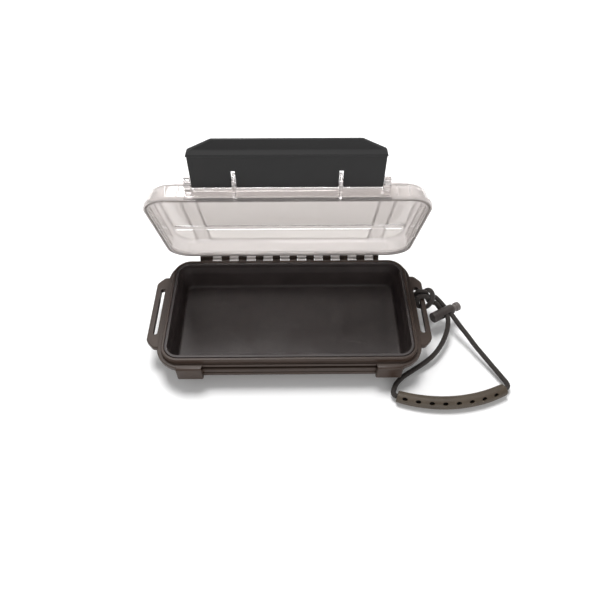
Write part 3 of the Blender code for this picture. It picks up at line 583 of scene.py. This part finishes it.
def makeFrontCatch(size):
    half = size["bayHalf"]
    far = size["bayFace"] - 12  # past the flange's edge
    bay = slab("bayTool", (-half, far, tub["flangeBottom"] - 1),
               (half, size["bayFace"], tub["flangeTop"] + 1))
    under = slab("underTool", (-half, far, 15.0), (half, size["lipFace"], size["lipLow"]))
    cutAndJoin(tubSkin, [(bay, "DIFFERENCE"), (under, "DIFFERENCE")])
    face = -rimShape["halfY"]
    out = face - size["ledgeReach"]
    dent = out + size["grooveDepth"]
    ledgeLine = softCorners([
        (face + 4.8, size["ledgeLow"], 0), (face + 4.8, size["ledgeHigh"], 0),
        (out, size["ledgeHigh"], 1.3), (out, size["grooveHigh"], 0.3),
        (dent, size["grooveHigh"] - 0.3, 0.2), (dent, size["grooveLow"] + 0.3, 0.2),
        (out, size["grooveLow"], 0.3), (out, size["ledgeLow"], 0.5),
    ], 5, True)
    prisms = [prism("catchLedge", ledgeLine, "x", -half - 2, half + 2, moulded["tubPlastic"], 0.2)]
    out = face - size["lugReach"]
    lugTop = tub["flangeTop"] - 0.05
    lugLine = softCorners([
        (face + 5.0, size["lugLow"], 0), (face + 3.4, lugTop, 0),
        (out, lugTop, 1.6), (out, size["lugLow"], 2.6),
    ], 6, True)
    lugEnd = half + size["lugLength"]
    for word, start, end in (("Left", -lugEnd, -half), ("Right", half, lugEnd)):
        prisms.append(prism("lug" + word, lugLine, "x", start, end, moulded["tubPlastic"], 0.9, 4))
    return prisms


catchPieces = makeFrontCatch(front)

handle = {
    "reach": 13.4,
    "half": 36.0,
    "taper": 6.5,
    "shoulder": 107.5,
    "top": 24.4,
    "bottom": 19.9,
    "bar": (4.3, 3.8),  # what is left outside the slot, at the left and the right end
    "slotWidth": (3.3, 4.2),
    "slotHalf": 23.5,
    "slotRound": 0.46,  # of the slot's width
}


def makeHandle(side, word, size):
    out = rimShape["halfX"] + size["reach"]
    inner = rimShape["halfX"] - 3
    half = size["half"]
    line = softCorners([
        (side * inner, -half, 0), (side * size["shoulder"], -half, 3.5),
        (side * out, -half + size["taper"], 6.0), (side * out, half - size["taper"], 6.0),
        (side * size["shoulder"], half, 3.5), (side * inner, half, 0),
    ], 8, True)
    finish = moulded["tubPlastic"]
    plate = prism("handle" + word, line, "z", size["bottom"], size["top"], finish, 0.7, 3)
    width = size["slotWidth"][side > 0]
    slotOut = out - size["bar"][side > 0]
    low = (side * (slotOut - width), -size["slotHalf"])
    slotLine = softBox(low, (side * slotOut, size["slotHalf"]), width * size["slotRound"])
    slot = prism("slotTool", slotLine, "z", size["bottom"] - 3, size["top"] + 3, None)
    return cutAndJoin(plate, [(slot, "DIFFERENCE")], 0.45, 2)


handlePieces = [makeHandle(-1, "Left", handle), makeHandle(1, "Right", handle)]

hinge = {
    "y": 58.9,
    "z": 24.5,
    "radius": 2.7,
    "count": 10,  # knuckles of the lid, the tub has one more
    "pitch": 15.0,
    "width": 7.2,
    "gap": 0.35,
    "first": -64.4,
    "start": -79.4,
    "end": 79.0,
    "root": 52.5,  # where the knuckles meet the tub
    "tubArc": (-125, 165),  # degrees round the pin
    "lidArc": (245, 425),
}
hingePlace = moved((0, hinge["y"], hinge["z"]))


def lidKnuckleSpans(size):
    middles = [size["first"] + number * size["pitch"] for number in range(size["count"])]
    return [(middle - size["width"] / 2, middle + size["width"] / 2) for middle in middles]


def tubKnuckleSpans(size):
    spans = []
    edge = size["start"]
    for start, end in lidKnuckleSpans(size):
        spans.append((edge, start - size["gap"]))
        edge = end + size["gap"]
    return spans + [(edge, size["end"])]


def makeTubKnuckles(size):
    outline = arcLine(size["y"], size["z"], size["radius"], *size["tubArc"], 28)
    ends = (tub["flangeTop"] - 0.6, tub["flangeBottom"] + 1.0)
    outline += [Vector((size["root"], end)) for end in ends]
    finish = moulded["tubPlastic"]
    made = []
    for number, (start, end) in enumerate(tubKnuckleSpans(size)):
        knuckle = prism("tubKnuckle%02d" % number, outline, "x", start, end, finish, 0.25, 2)
        made.append(cutAndJoin(knuckle, [boreStep(start - 1, end + 1, hingePlace)]))
    return made


tubKnuckles = makeTubKnuckles(hinge)
dress(tubSkin, "base", "black_plastic", "base_shell")
for piece in catchPieces + handlePieces + tubKnuckles:
    dress(piece, "base", "black_plastic")

hingePin = makePin("hingePin", hinge["start"], hinge["end"], hingePlace)
dress(hingePin, "base", "bright_steel", "hinge_pin")
print("tub, catch, handles and rear hinge made")

# liner: soft tray that shows as the inner band of the rim

liner = {"gap": 0.3, "thick": 1.2, "lipReach": 2.7, "top": 29.35, "bottom": 2.7}


def makeLiner(size):
    atRim, atFlange, atFloor = (-inside - size["gap"] for inside in tub["inside"])
    thick = size["thick"]
    under = tub["rimTop"] - tub["seatDeep"] + size["gap"]
    profile = [
        (atFloor - 12.0, size["bottom"], 0),
        (atFloor, size["bottom"], 1.5),
        (atFlange, tub["flangeBottom"], 3.0),
        (atRim, tub["rimTop"] - tub["seatEnd"], 0.6),
        (atRim, under, 0.15),
        (-size["lipReach"], under, 0.2),
        (-size["lipReach"], size["top"], 0.45),
        (atRim - thick, size["top"], 0.6),
        (atRim - thick, tub["rimTop"] - tub["seatEnd"] - 0.2, 0.6),
        (atFlange - thick, tub["flangeBottom"], 3.0),
        (atFloor - thick, size["bottom"] + thick, 2.2),
        (atFloor - thick - 12.0, size["bottom"] + thick, 0),
    ]
    loops = [roundedLoop(*point) for point in softCorners(profile, 5)]
    return skinLoops("tubLiner", loops, moulded["linerRubber"])


tubLiner = makeLiner(liner)
dress(tubLiner, "base", "liner_rubber", "base_liner")
print("liner made")

# lid: clear moulding, modelled closed from its hinge line and then opened

lid = {
    "open": 66.95,
    "middle": 58.9,
    "seat": 0.5,
    "ceiling": 13.5,
    "top": 15.7,
    "cornerExtra": 3.5,  # the top's corners are rounder than the rim's
    "cornerFrom": 4.6,
    "cornerOver": 6.0,
    "bandWidth": 11.8,
    "bandAt": 75.3,
    "bandHeight": 0.9,
    "bandSlope": 2.3,
    "bandStart": 108.1,
    "bandEnd": 9.0,
    "crossWidth": 7.6,
    "crossAt": 34.6,
    "crossEnd": 98.0,
    "frontWall": 108.5,
    "frontHalf": 72.2,  # the front wall is painted clearer between the end ears, and milkier and darker beyond them
    "seenShift": 2.0,  # how far the top's thickness moves its outside lines, seen from inside
    "fieldAt": 69.5,
    "fieldSize": (57.0, 36.0),
}
lidPlace = hingePlace @ tipped(-lid["open"])


def makeLidSkin(size):
    seat = size["seat"]
    profile = [
        (-24.0, size["ceiling"], 0),
        (-1.2, size["ceiling"], 8.0),
        (0.3, seat + 4.6, 0.8),
        (0.8, seat + 3.4, 0.5),
        (0.8, seat, 0.2),
        (1.7, seat, 0),  # from here to 3.3 the groove of the seal
        (1.7, seat + 2.0, 0.1),
        (3.3, seat + 2.0, 0.1),
        (3.3, seat, 0),
        (4.2, seat, 0.3),
        (4.2, seat + 3.3, 0.5),
        (2.9, seat + 3.5, 0.4),
        (1.3, size["top"], 4.2),
        (-24.0, size["top"], 0),
    ]
    loops = []
    for out, height in softCorners(profile, 7):
        share = clamped((height - size["cornerFrom"]) / size["cornerOver"])
        loops.append(roundedLoop(out, height, -size["middle"], size["cornerExtra"] * share))
    return skinLoops("lidShell", loops, lidClear)


def bandLine(size, middle, width, height):
    # outline of a band with sloped sides and soft corners, across and up
    top = size["top"]
    slope = size["bandSlope"]
    low = middle - width / 2
    high = middle + width / 2
    return softCorners([
        (low - slope, top - 0.9, 0), (low - slope / 2, top, 0), (low + slope / 2, top + height, 0.7),
        (high - slope / 2, top + height, 0.7), (high + slope / 2, top, 0), (high + slope, top - 0.9, 0),
    ], 4, True)


def lidTools(size):
    top = size["top"]
    height = size["bandHeight"]
    strapEnd = -size["bandEnd"] - 1.6
    steps = []
    # each band runs over the top's rear edge and down the rear wall
    strap = softCorners([
        (-5.4, 3.3, 0), (-3.6, 3.3, 0), (-5.2, 12.0, 2.0), (-5.8, 14.1, 1.5), (-7.2, top + 0.2, 2.0),
        (strapEnd, top + height - 0.03, 0), (strapEnd, top - 0.9, 0), (-7.0, 13.1, 0),
    ], 4, True)
    for side in (-1, 1):
        middle = side * size["bandAt"]
        half = size["bandWidth"] / 2
        line = bandLine(size, middle, size["bandWidth"], height)
        band = prism("bandTool", line, "y", -size["bandStart"], -size["bandEnd"], None)
        rear = prism("strapTool", strap, "x", middle - half, middle + half, None, 0.3, 2)
        steps += [(band, "UNION"), (rear, "UNION")]
    cross = bandLine(size, -size["crossAt"], size["crossWidth"], height - 0.1)
    steps.append((prism("crossTool", cross, "x", -size["crossEnd"], size["crossEnd"], None), "UNION"))
    fieldX, fieldY = (side / 2 for side in size["fieldSize"])
    steps.append((slab("fieldTool", (-fieldX, -size["fieldAt"] - fieldY, top - 0.5),
                       (fieldX, -size["fieldAt"] + fieldY, top + 2)), "DIFFERENCE"))
    knuckle = arcLine(0, 0, hinge["radius"], *hinge["lidArc"], 24)
    knuckle += [Vector((-3.9, 3.7)), Vector((-3.9, 1.0))]
    for start, end in lidKnuckleSpans(hinge):
        steps.append((prism("knuckleTool", knuckle, "x", start, end, None, 0.2, 2), "UNION"))
    return steps + [boreStep(-84, 84)]


latch = {
    "open": 114.35,
    "pivotOut": 117.4,
    "pivotUp": 11.8,
    "half": 66.2,
    "length": 34.6,
    "barrel": 2.9,
    "inner": 2.2,
    "thick": 2.4,
    "hookTop": -25.15,
    "finAt": 36.8,
    "finThick": 2.2,
    "finRadius": 7.0,
    "finFoot": 1.2,
    "slotGap": 0.4,
    "cornerWide": 17.7,  # how much each free corner is cut away, along and across
    "cornerDeep": 7.2,
    "cornerRound": 3.0,
    "earGap": 0.7,
    "earThick": 4.6,
    "earRadius": 4.2,
    "ribs": ((4.6, 6.2), (13.4, 15.0)),  # outside the ear, from and to
}
earStart = latch["half"] + latch["earGap"]
earEnd = earStart + latch["earThick"]


def earTools(size):
    pivotY = -size["pivotOut"]
    pivotZ = size["pivotUp"]
    root = -110.5  # within the lid's front wall
    foot = size["finFoot"]
    low = Vector((root, lid["seat"] + 3.8))
    fin = arcLine(pivotY, pivotZ, size["finRadius"], 262, 115, 26)
    fin += [Vector((root, lid["top"] - 1.4)), low, Vector((-114.2, 3.5)), Vector((-114.2, foot)),
            Vector((pivotY + size["inner"] - size["thick"], foot))]
    ear = arcLine(pivotY, pivotZ, size["earRadius"], 285, 85, 22)
    ear += [Vector((root, lid["top"] - 1.2)), low]
    rib = [Vector((-114.1, 2.9)), Vector((-113.7, 12.0)), Vector((root, 13.5)), Vector((root, 2.9))]
    half = size["finThick"] / 2
    forms = [(fin, size["finAt"] - half, size["finAt"] + half), (ear, earStart, earEnd)]
    forms += [(rib, earEnd + near, earEnd + far) for near, far in size["ribs"]]
    steps = []
    for side in (-1, 1):
        for outline, near, far in forms:
            start, end = sorted((side * near, side * far))
            steps.append((prism("earTool", outline, "x", start, end, None, 0.35, 2), "UNION"))
    return steps + [boreStep(-earEnd - 5, earEnd + 5, moved((0, pivotY, pivotZ)))]


lidShell = makeLidSkin(lid)
cutAndJoin(lidShell, lidTools(lid) + earTools(latch))


def ceilingStrips(size):
    # where the slopes of the cross band show through the ceiling, from and to; these strips get the
    # painted highlight
    strips = []
    for side in (-1, 1):
        middle = side * size["crossWidth"] / 2 - size["crossAt"] - size["seenShift"]
        strips.append((middle - size["bandSlope"] / 2, middle + size["bandSlope"] / 2))
    return strips


def splitFaces(builder, faces, place, direction):
    parts = faces + list({edge for face in faces for edge in face.edges})
    parts += list({vert for face in faces for vert in face.verts})
    bmesh.ops.bisect_plane(builder, geom=parts, plane_co=Vector(place) * mm, plane_no=direction,
                           dist=0.000001)


def splitShell(shell, size):
    # lines across the ceiling and down the front wall, so that faces end where their painted light or
    # shade does
    builder = bmesh.new()
    builder.from_mesh(shell.data)
    for line in (line for strip in ceilingStrips(size) for line in strip):
        ceiling = [face for face in builder.faces if abs(face.normal.z) > 0.99
                   and abs(face.calc_center_median().z / mm - size["ceiling"]) < 0.01]
        splitFaces(builder, ceiling, (0, line, 0), (0, 1, 0))
    for side in (-1, 1):
        wall = [face for face in builder.faces
                if face.calc_center_median().y / mm < -size["frontWall"]]
        splitFaces(builder, wall, (side * size["frontHalf"], 0, 0), (1, 0, 0))
    builder.to_mesh(shell.data)
    builder.free()


def shadeOf(centre, normal, size):
    # front wall: painted clearer between the end ears, milkier at the corners
    if centre.y < -size["frontWall"]:
        return "front" if abs(centre.x) < size["frontHalf"] else "wall"
    if centre.z < size["ceiling"] - 0.1:
        return "wall"
    if abs(normal.z) > 0.985:
        if centre.z > size["top"] - 1:
            return "lower" if centre.y > size["crossWidth"] / 2 - size["crossAt"] else "panel"
        # ceiling strips under the cross band's sides get the painted highlight, the rest the panel
        # shade
        return "glint" if any(start < centre.y < end for start, end in ceilingStrips(size)) else "panel"
    if centre.z > size["top"] and normal.z > 0.2:
        # sides of the bands: painted shade on the long bands, painted highlight on the cross band
        return "slope" if abs(normal.x) > abs(normal.y) else "glint"
    return "wall"


def shadeFaces(shell, size):
    # the front, the flat top and the slopes of its bands each get their own shade of the plastic,
    # clearer or milkier to paint light and shade there
    for finish in lidShades.values():
        shell.data.materials.append(finish)
    order = ["wall", *lidShades]
    for face in shell.data.polygons:
        face.material_index = order.index(shadeOf(face.center / mm, face.normal, size))


splitShell(lidShell, lid)
shadeFaces(lidShell, lid)
settle(lidShell, lidPlace)
dress(lidShell, "lid", "clear_plastic", "lid_shell")

seal = {"inner": 1.9, "outer": 3.1, "high": 2.2, "low": 0.4, "bead": 0.2}


def makeSeal(size):
    middle = (size["inner"] + size["outer"]) / 2
    line = softCorners([
        (size["inner"], size["low"], 0.1), (size["inner"], size["high"], 0.15),
        (size["outer"], size["high"], 0.15), (size["outer"], size["low"], 0.1),
        (middle, size["bead"], 0.25),
    ], 3, True)
    loops = [roundedLoop(*point, -lid["middle"]) for point in line]
    return skinLoops("lidSeal", loops, moulded["sealRubber"], True, 60)


lidSeal = settle(makeSeal(seal), lidPlace)
dress(lidSeal, "lid", "seal_rubber", "lid_seal")

pivotPlace = lidPlace @ moved((0, -latch["pivotOut"], latch["pivotUp"]))
latchPin = makePin("latchPin", -earEnd, earEnd, pivotPlace)
dress(latchPin, "lid", "bright_steel", "latch_pin")
print("lid, seal and ears made")

# latch: wide panel on the lid's pin, modelled closed and then swung up


def makeLatch(size):
    inner = size["inner"]
    outer = inner - size["thick"]
    hook = size["hookTop"]
    tab = hook - 3.2
    end = -size["length"]
    outline = arcLine(0, 0, size["barrel"], 40, 265, 26)
    outline += softCorners([
        (outer, -3.6, 0), (outer, tab + 1.5, 3.0), (outer - 1.2, tab - 2.5, 3.0),
        (outer - 2.4, end, 0.7), (inner - 2.7, end, 0.7), (inner - 1.1, tab - 2.8, 3.0),
        (inner + 0.1, tab - 0.6, 3.0), (inner + 3.3, hook - 1.5, 0.8), (inner + 3.3, hook, 0.4),
        (inner, hook, 0),
    ], 5)
    panel = prism("latchPanel", outline, "x", -size["half"], size["half"], moulded["latchPlastic"])
    slot = size["finThick"] / 2 + size["slotGap"]
    slotEnd = size["finFoot"] - 1.1 - size["pivotUp"]
    edge = size["half"] - 0.02
    cut = edge - size["cornerWide"]
    high = size["cornerDeep"] - size["length"]
    steps = []  # cutting tools, which all reach past the panel
    for side in (-1, 1):
        fin = side * size["finAt"]
        steps.append((slab("slotTool", (fin - slot, -8, slotEnd), (fin + slot, 8, 8)), "DIFFERENCE"))
        corner = softCorners([
            (side * (cut - 6), 0.02 + end, 0), (side * cut, 0.02 + end, size["cornerRound"]),
            (side * edge, high, size["cornerRound"]), (side * edge, high + 5, 0),
        ], 6)
        corner += [Vector((side * 72, high + 5)), Vector((side * 72, end - 2)),
                   Vector((side * (cut - 6), end - 2))]
        steps.append((prism("cornerTool", corner, "y", -12, 12, None), "DIFFERENCE"))
    return cutAndJoin(panel, steps + [boreStep(-72, 72)], 0.35, 3)


latchPanel = settle(makeLatch(latch), pivotPlace @ tipped(-latch["open"]))
dress(latchPanel, "latch", "latch_plastic", "latch_panel")
print("latch made")

# grip: curved tube over the bottom of the lanyard loop

grip = {
    "start": (83.6, -70.2, 4.75),
    "finish": (167.2, -65.0, 4.75),
    "sag": 8.3,
    "radius": 4.7,
    "broad": 1.1,  # a little wider than it is high
    "endRadius": 4.2,
    "bore": 2.35,
    "holes": 8,
    "holePitch": 10.05,
    "firstHole": 5.6,
    "holeLength": 4.2,
    "holeWidth": 2.6,
    "holeTilt": 50.0,
    "stations": 56,
    "boreStations": 20,
    "sides": 40,
    "holeSides": 28,
}


def bowCircle(size):
    # centre, radius, first angle and length of the grip's centre line, in millimetres
    start = Vector(size["start"])
    chord = Vector(size["finish"]) - start
    radius = ((chord.length / 2) ** 2 + size["sag"] ** 2) / (2 * size["sag"])
    side = Vector((chord.y, -chord.x, 0)).normalized()
    centre = start + chord / 2 - side * (radius - size["sag"])
    half = math.asin(chord.length / 2 / radius)
    return centre, radius, math.atan2(side.y, side.x) - half, 2 * half * radius


def bowFrame(size, distance):
    # point and outward side of the centre line, at a distance along it
    centre, radius, first, _ = bowCircle(size)
    angle = first + distance / radius
    outward = Vector((math.cos(angle), math.sin(angle), 0))
    return centre + outward * radius, outward


def makeGrip(size):
    length = bowCircle(size)[3]
    up = Vector((0, 0, 1))
    ends = softCorners([
        (0.0, size["bore"], 0.3), (-0.5, size["bore"], 0.3),
        (-0.5, size["endRadius"], 0.9), (0.6, size["endRadius"], 0),
    ], 4)
    line = list(ends)
    for station in range(size["stations"] + 1):
        share = station / size["stations"]
        if 1.0 < share * length < length - 1.0:
            swell = math.sin(math.pi * share) ** 0.5
            radius = size["endRadius"] + (size["radius"] - size["endRadius"]) * swell
            line.append(Vector((share * length, radius)))
    line += [Vector((length - point.x, point.y)) for point in reversed(ends)]
    line += [Vector((length * (1 - station / size["boreStations"]), size["bore"]))
             for station in range(1, size["boreStations"])]
    loops = []
    for distance, radius in line:
        point, outward = bowFrame(size, distance)
        loops.append([(point + radius * (math.cos(a) * outward * size["broad"] + math.sin(a) * up)) * mm
                      for a in ringAngles(size["sides"])])
    tube = skinLoops("lanyardGrip", loops, moulded["gripRubber"], True, 50)
    tilt = math.radians(size["holeTilt"])
    angles = ringAngles(size["holeSides"])
    steps = []
    for number in range(size["holes"]):
        point, outward = bowFrame(size, size["firstHole"] + number * size["holePitch"])
        along = Vector((-outward.y, outward.x, 0))
        axis = (outward * math.cos(tilt) + up * math.sin(tilt)).normalized()
        across = axis.cross(along)
        rings = [[(point + axis * depth + along * math.cos(a) * size["holeLength"] / 2
                   + across * math.sin(a) * size["holeWidth"] / 2) * mm for a in angles]
                 for depth in (size["bore"] * 0.5, size["radius"] + 2)]
        builder = bmesh.new()
        fillBetween(builder, *rings)
        steps.append((objectFrom(builder, "holeTool", None), "DIFFERENCE"))
    return cutAndJoin(tube, steps, 0.22, 2, 50)


lanyardGrip = makeGrip(grip)
dress(lanyardGrip, "base", "grip_rubber", "lanyard_grip")
print("grip made")

# cord lock: barrel, sprung plunger and the spring between them

lock = {
    "centre": (131.8, 3.6, 15.8),
    "turn": math.degrees(math.atan2(0.475, 0.88)),
    "radius": 4.4,
    "bore": 3.4,
    "back": 14.5,
    "backWall": 1.2,
    "front": 6.5,
    "travel": 2.5,
    "plunger": 3.15,
    "knob": 3.9,
    "knobGap": 3.0,
    "knobLength": 4.0,
    "plungerBack": 8.6,
    "strandOffset": 2.25,
    "strandHole": (4.6, 2.35),  # half length and half height of the cross hole
    "springWire": 0.3,
    "springTurns": 3.5,
    "springPoints": 40,  # for each turn
}
lockPlace = moved(lock["centre"]) @ tipped(lock["turn"], "Z")


def strandStep(size, low, high):
    height = size["strandHole"][1]
    line = softBox((low, -height), (high, height), height * 0.9)
    return prism("strandTool", line, "y", -12, 12, None), "DIFFERENCE"


def turnedSolid(name, corners, steps, finish):
    # points on the axis are left out, because the caps close the solid
    return turned(name, [point for point in softCorners(corners, steps) if point.y > 0.05], finish)


def makeLock(size):
    back = -size["back"]
    mouth = size["front"]
    radius = size["radius"]
    inside = back + size["backWall"]
    hole = size["strandHole"][0]
    barrel = turnedSolid("lockBarrel", [
        (back, 0.0, 0), (back, radius, 1.2), (back + 4.2, radius, 0.2),
        (back + 4.5, radius - 0.35, 0.2), (back + 4.9, radius - 0.35, 0.2),
        (back + 5.2, radius, 0.2), (mouth - 1.5, radius, 0.2),
        (mouth - 1.1, radius - 0.2, 0.2), (mouth, radius - 0.2, 0.4), (mouth, size["bore"], 0.3),
        (inside, size["bore"], 0.3), (inside, 0.0, 0),
    ], 4, moulded["barrelPlastic"])
    cutAndJoin(barrel, [strandStep(size, -hole - size["travel"], hole)], 0.25, 2)
    stemEnd = -size["plungerBack"]
    knobStart = mouth + size["knobGap"]
    knobEnd = knobStart + size["knobLength"]
    plunger = turnedSolid("lockPlunger", [
        (stemEnd, 0.0, 0), (stemEnd, size["plunger"], 0.5), (knobStart, size["plunger"], 0.4),
        (knobStart, size["knob"], 0.5), (knobEnd, size["knob"], 1.0), (knobEnd - 0.5, 0.0, 0),
    ], 5, moulded["plungerPlastic"])
    cutAndJoin(plunger, [strandStep(size, -hole, hole + size["travel"])], 0.2, 2)
    return barrel, plunger


lockBarrel, lockPlunger = makeLock(lock)


def sweepTube(name, points, radius, finish, sides):
    # tube along a line of points in millimetres, with its length and turn kept as a UV layout
    builder = bmesh.new()
    layer = builder.loops.layers.uv.new("along")
    count = len(points)
    tangents = []
    for index in range(count):
        before = points[max(index - 1, 0)]
        after = points[min(index + 1, count - 1)]
        tangents.append((after - before).normalized())
    normal = tangents[0].orthogonal().normalized()
    angles = ringAngles(sides)
    rows = []
    lengths = [0.0]
    for index, (point, tangent) in enumerate(zip(points, tangents)):
        if index:
            normal = (normal - tangent * normal.dot(tangent)).normalized()
            lengths.append(lengths[-1] + (point - points[index - 1]).length * mm)
        other = tangent.cross(normal)
        ring = [point + radius * (math.cos(a) * normal + math.sin(a) * other) for a in angles]
        rows.append([builder.verts.new(place * mm) for place in ring])
    for index in range(count - 1):
        for side in range(sides):
            spots = ((index, side), (index, side + 1), (index + 1, side + 1), (index + 1, side))
            face = builder.faces.new([rows[at][turn % sides] for at, turn in spots])
            for loop, (at, turn) in zip(face.loops, spots):
                loop[layer].uv = (lengths[at], turn / sides)
    builder.faces.new(rows[0])
    builder.faces.new(rows[-1])
    return objectFrom(builder, name, finish, 60)


def makeSpring(size):
    wire = size["springWire"]
    start = -size["back"] + size["backWall"] + wire + 0.25
    end = -size["plungerBack"] - wire - 0.25
    radius = size["bore"] - wire - 0.45
    count = int(size["springPoints"] * size["springTurns"])
    points = []
    for index in range(count + 1):
        share = index / count
        angle = 2 * math.pi * size["springTurns"] * share
        x = start + (end - start) * share
        points.append(Vector((x, radius * math.cos(angle), radius * math.sin(angle))))
    return sweepTube("lockSpring", points, wire, pinSteel, 10)


lockSpring = makeSpring(lock)
for piece in (lockBarrel, lockPlunger, lockSpring):
    settle(piece, lockPlace)
dress(lockBarrel, "base", "lock_plastic", "cord_lock_barrel")
dress(lockPlunger, "plunger", "plunger_plastic", "cord_lock_plunger")
dress(lockSpring, "base", "bright_steel", "cord_lock_spring")
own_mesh(lockSpring)
print("cord lock made")

# cord: from inside the grip, through the lock, round the handle's bar and back

cord = {
    "radius": 2.0,
    "sides": 20,
    "spacing": 0.8,
    "straight": 5.0,  # on each side of the lock
    "bar": (111.5, 14.0, 22.15),
    "hitchHalf": (
        (12.4, -3.7, -3.6), (8.9, -2.9, -2.8), (5.9, -2.4, -1.1), (4.5, -2.4, 1.5), (3.3, -2.5, 3.8),
        (0.6, -2.6, 4.75), (-3.1, -2.8, 4.3), (-4.2, -3.2, 1.8), (-4.2, -4.0, -1.6), (-3.1, -5.0, -4.3),
        (-0.2, -6.0, -4.8), (2.9, -6.9, -4.2), (4.5, -7.6, -1.9), (5.6, -7.5, 0.6), (7.2, -6.3, 2.2),
        (8.5, -3.6, 3.1), (8.9, 0.0, 3.2),
    ),
    "gripLeft": (0.485, 0.36, 0.24, 0.12, 0.03),  # shares of the grip's length
    "gripRight": (0.97, 0.88, 0.76, 0.64, 0.515),
    "legLeft": (
        (82.2, -69.7, 4.75), (80.9, -68.5, 4.75), (80.55, -66.6, 4.75), (81.3, -64.2, 4.8),
        (84.2, -58.6, 4.9), (89.6, -53.2, 5.0), (98.2, -47.4, 5.3), (107.4, -41.6, 6.2),
        (116.6, -34.6, 7.7), (124.1, -25.6, 9.5), (129.2, -16.4, 11.6), (131.6, -9.4, 13.6),
    ),
    "legRight": (
        (141.0, -8.4, 13.6), (146.0, -16.4, 11.6), (152.1, -27.4, 9.3), (158.3, -37.4, 7.4),
        (164.2, -47.2, 5.9), (168.4, -54.4, 5.1), (170.7, -59.0, 4.85), (171.2, -61.2, 4.75),
        (170.5, -62.9, 4.75), (168.8, -64.2, 4.75),
    ),
}


def cordRoute(size):
    turn = math.radians(lock["turn"])
    along = Vector((math.cos(turn), math.sin(turn), 0))
    across = Vector((math.sin(turn), -math.cos(turn), 0)) * size["straight"]
    centre = Vector(lock["centre"])
    strandA = centre - along * lock["strandOffset"]
    strandB = centre + along * lock["strandOffset"]
    total = bowCircle(grip)[3]
    bar = Vector(size["bar"])
    route = [bowFrame(grip, total * share)[0] for share in size["gripLeft"]]
    route += [Vector(point) for point in size["legLeft"]]
    route += [strandA + across, strandA, strandA - across]
    route += [bar + Vector(point) for point in size["hitchHalf"]]
    route += [bar + Vector((x, -y, z)) for x, y, z in size["hitchHalf"][-2::-1]]
    route += [strandB - across, strandB, strandB + across]
    route += [Vector(point) for point in size["legRight"]]
    route += [bowFrame(grip, total * share)[0] for share in size["gripRight"]]
    return route


def blended(low, high, at, first, second):
    return first * ((high - at) / (high - low)) + second * ((at - low) / (high - low))


def smoothPoint(points, index, share):
    # point on the smooth curve between two route points, by the centripetal rule
    p1 = points[index]
    p2 = points[index + 1]
    p0 = points[index - 1] if index > 0 else p1 * 2 - p2
    p3 = points[index + 2] if index + 2 < len(points) else p2 * 2 - p1
    t1 = math.sqrt((p1 - p0).length)
    t2 = t1 + math.sqrt((p2 - p1).length)
    t3 = t2 + math.sqrt((p3 - p2).length)
    t = t1 + (t2 - t1) * share
    a1 = blended(0, t1, t, p0, p1)
    a2 = blended(t1, t2, t, p1, p2)
    a3 = blended(t2, t3, t, p2, p3)
    return blended(t1, t2, t, blended(0, t2, t, a1, a2), blended(t1, t3, t, a2, a3))


def evenLine(route, spacing, parts=16):
    dense = [smoothPoint(route, index, step / parts)
             for index in range(len(route) - 1) for step in range(parts)]
    dense.append(route[-1])
    line = [dense[0]]
    travel = 0.0
    for before, after in zip(dense, dense[1:]):
        travel += (after - before).length
        if travel >= spacing:
            line.append(after)
            travel = 0.0
    line.append(dense[-1])
    return line


cordLine = evenLine(cordRoute(cord), cord["spacing"])
lanyardCord = sweepTube("lanyardCord", cordLine, cord["radius"], cordBraid, cord["sides"])
dress(lanyardCord, "base", "black_cord", "lanyard_cord")

# table, studio light and surroundings

stage = {
    "size": 6.0,
    "below": 0.0002,
    "table": (0.93, 0.93, 0.93),
    "rough": 0.9,
    "lift": 0.045,
    "nearRing": 0.24,  # between these distances the table fades to plain white
    "farRing": 0.7,
}


def makeTable(size):
    builder = bmesh.new()
    bmesh.ops.create_grid(builder, x_segments=1, y_segments=1, size=size["size"] / 2)
    made, tree, shader = startFinish("tableTop")
    spot = addNode(tree, "VectorMath", {0: objectCoords(tree)}, operation="LENGTH").outputs["Value"]
    ring = addRange(tree, spot, size["lift"], 1.0, size["nearRing"], size["farRing"])
    ring.node.interpolation_type = "SMOOTHSTEP"
    seen = raysOf(tree, "Is Camera Ray", "Is Transmission Ray", "Is Glossy Ray")
    fill(shader, {
        "Base Color": size["table"],
        "Roughness": size["rough"],
        "Specular IOR Level": 0.0,
        "Emission Color": (1, 1, 1),
        "Emission Strength": calc(tree, "MULTIPLY", seen, ring),
    })
    table = objectFrom(builder, "tableTop", made)
    table.location.z = -size["below"]


makeTable(stage)

lights = {
    "world": 0.35,
    "aim": (0, 0, 0.03),
    "key": {"place": (-0.10, 0.40, 1.12), "size": 0.5, "power": 15.5},
    "front": {"place": (0.25, -1.2, 0.24), "size": 0.7, "power": 6.5},
}


def addLight(name, settings, aim):
    data = bpy.data.lights.new(name, "AREA")
    data.shape = "SQUARE"
    data.size = settings["size"]
    data.energy = settings["power"]
    made = addObject(name, data)
    made.location = settings["place"]
    made.rotation_euler = (Vector(aim) - made.location).to_track_quat("-Z", "Y").to_euler()


for name in ("key", "front"):
    addLight(name + "Light", lights[name], lights["aim"])


def makeWorld(strength):
    # plain white where it is seen, and weaker as a light
    world = bpy.data.worlds.new("studio")
    bpy.context.scene.world = world
    world.use_nodes = True
    tree = world.node_tree
    seen = raysOf(tree, "Is Camera Ray", "Is Transmission Ray")
    fill(tree.nodes["Background"], {
        "Color": (1, 1, 1),
        "Strength": addRange(tree, seen, strength, 1.0, 0.0, 1.0),
    })


makeWorld(lights["world"])
bpy.context.scene.view_settings.view_transform = "Standard"
print("table, light and world set")
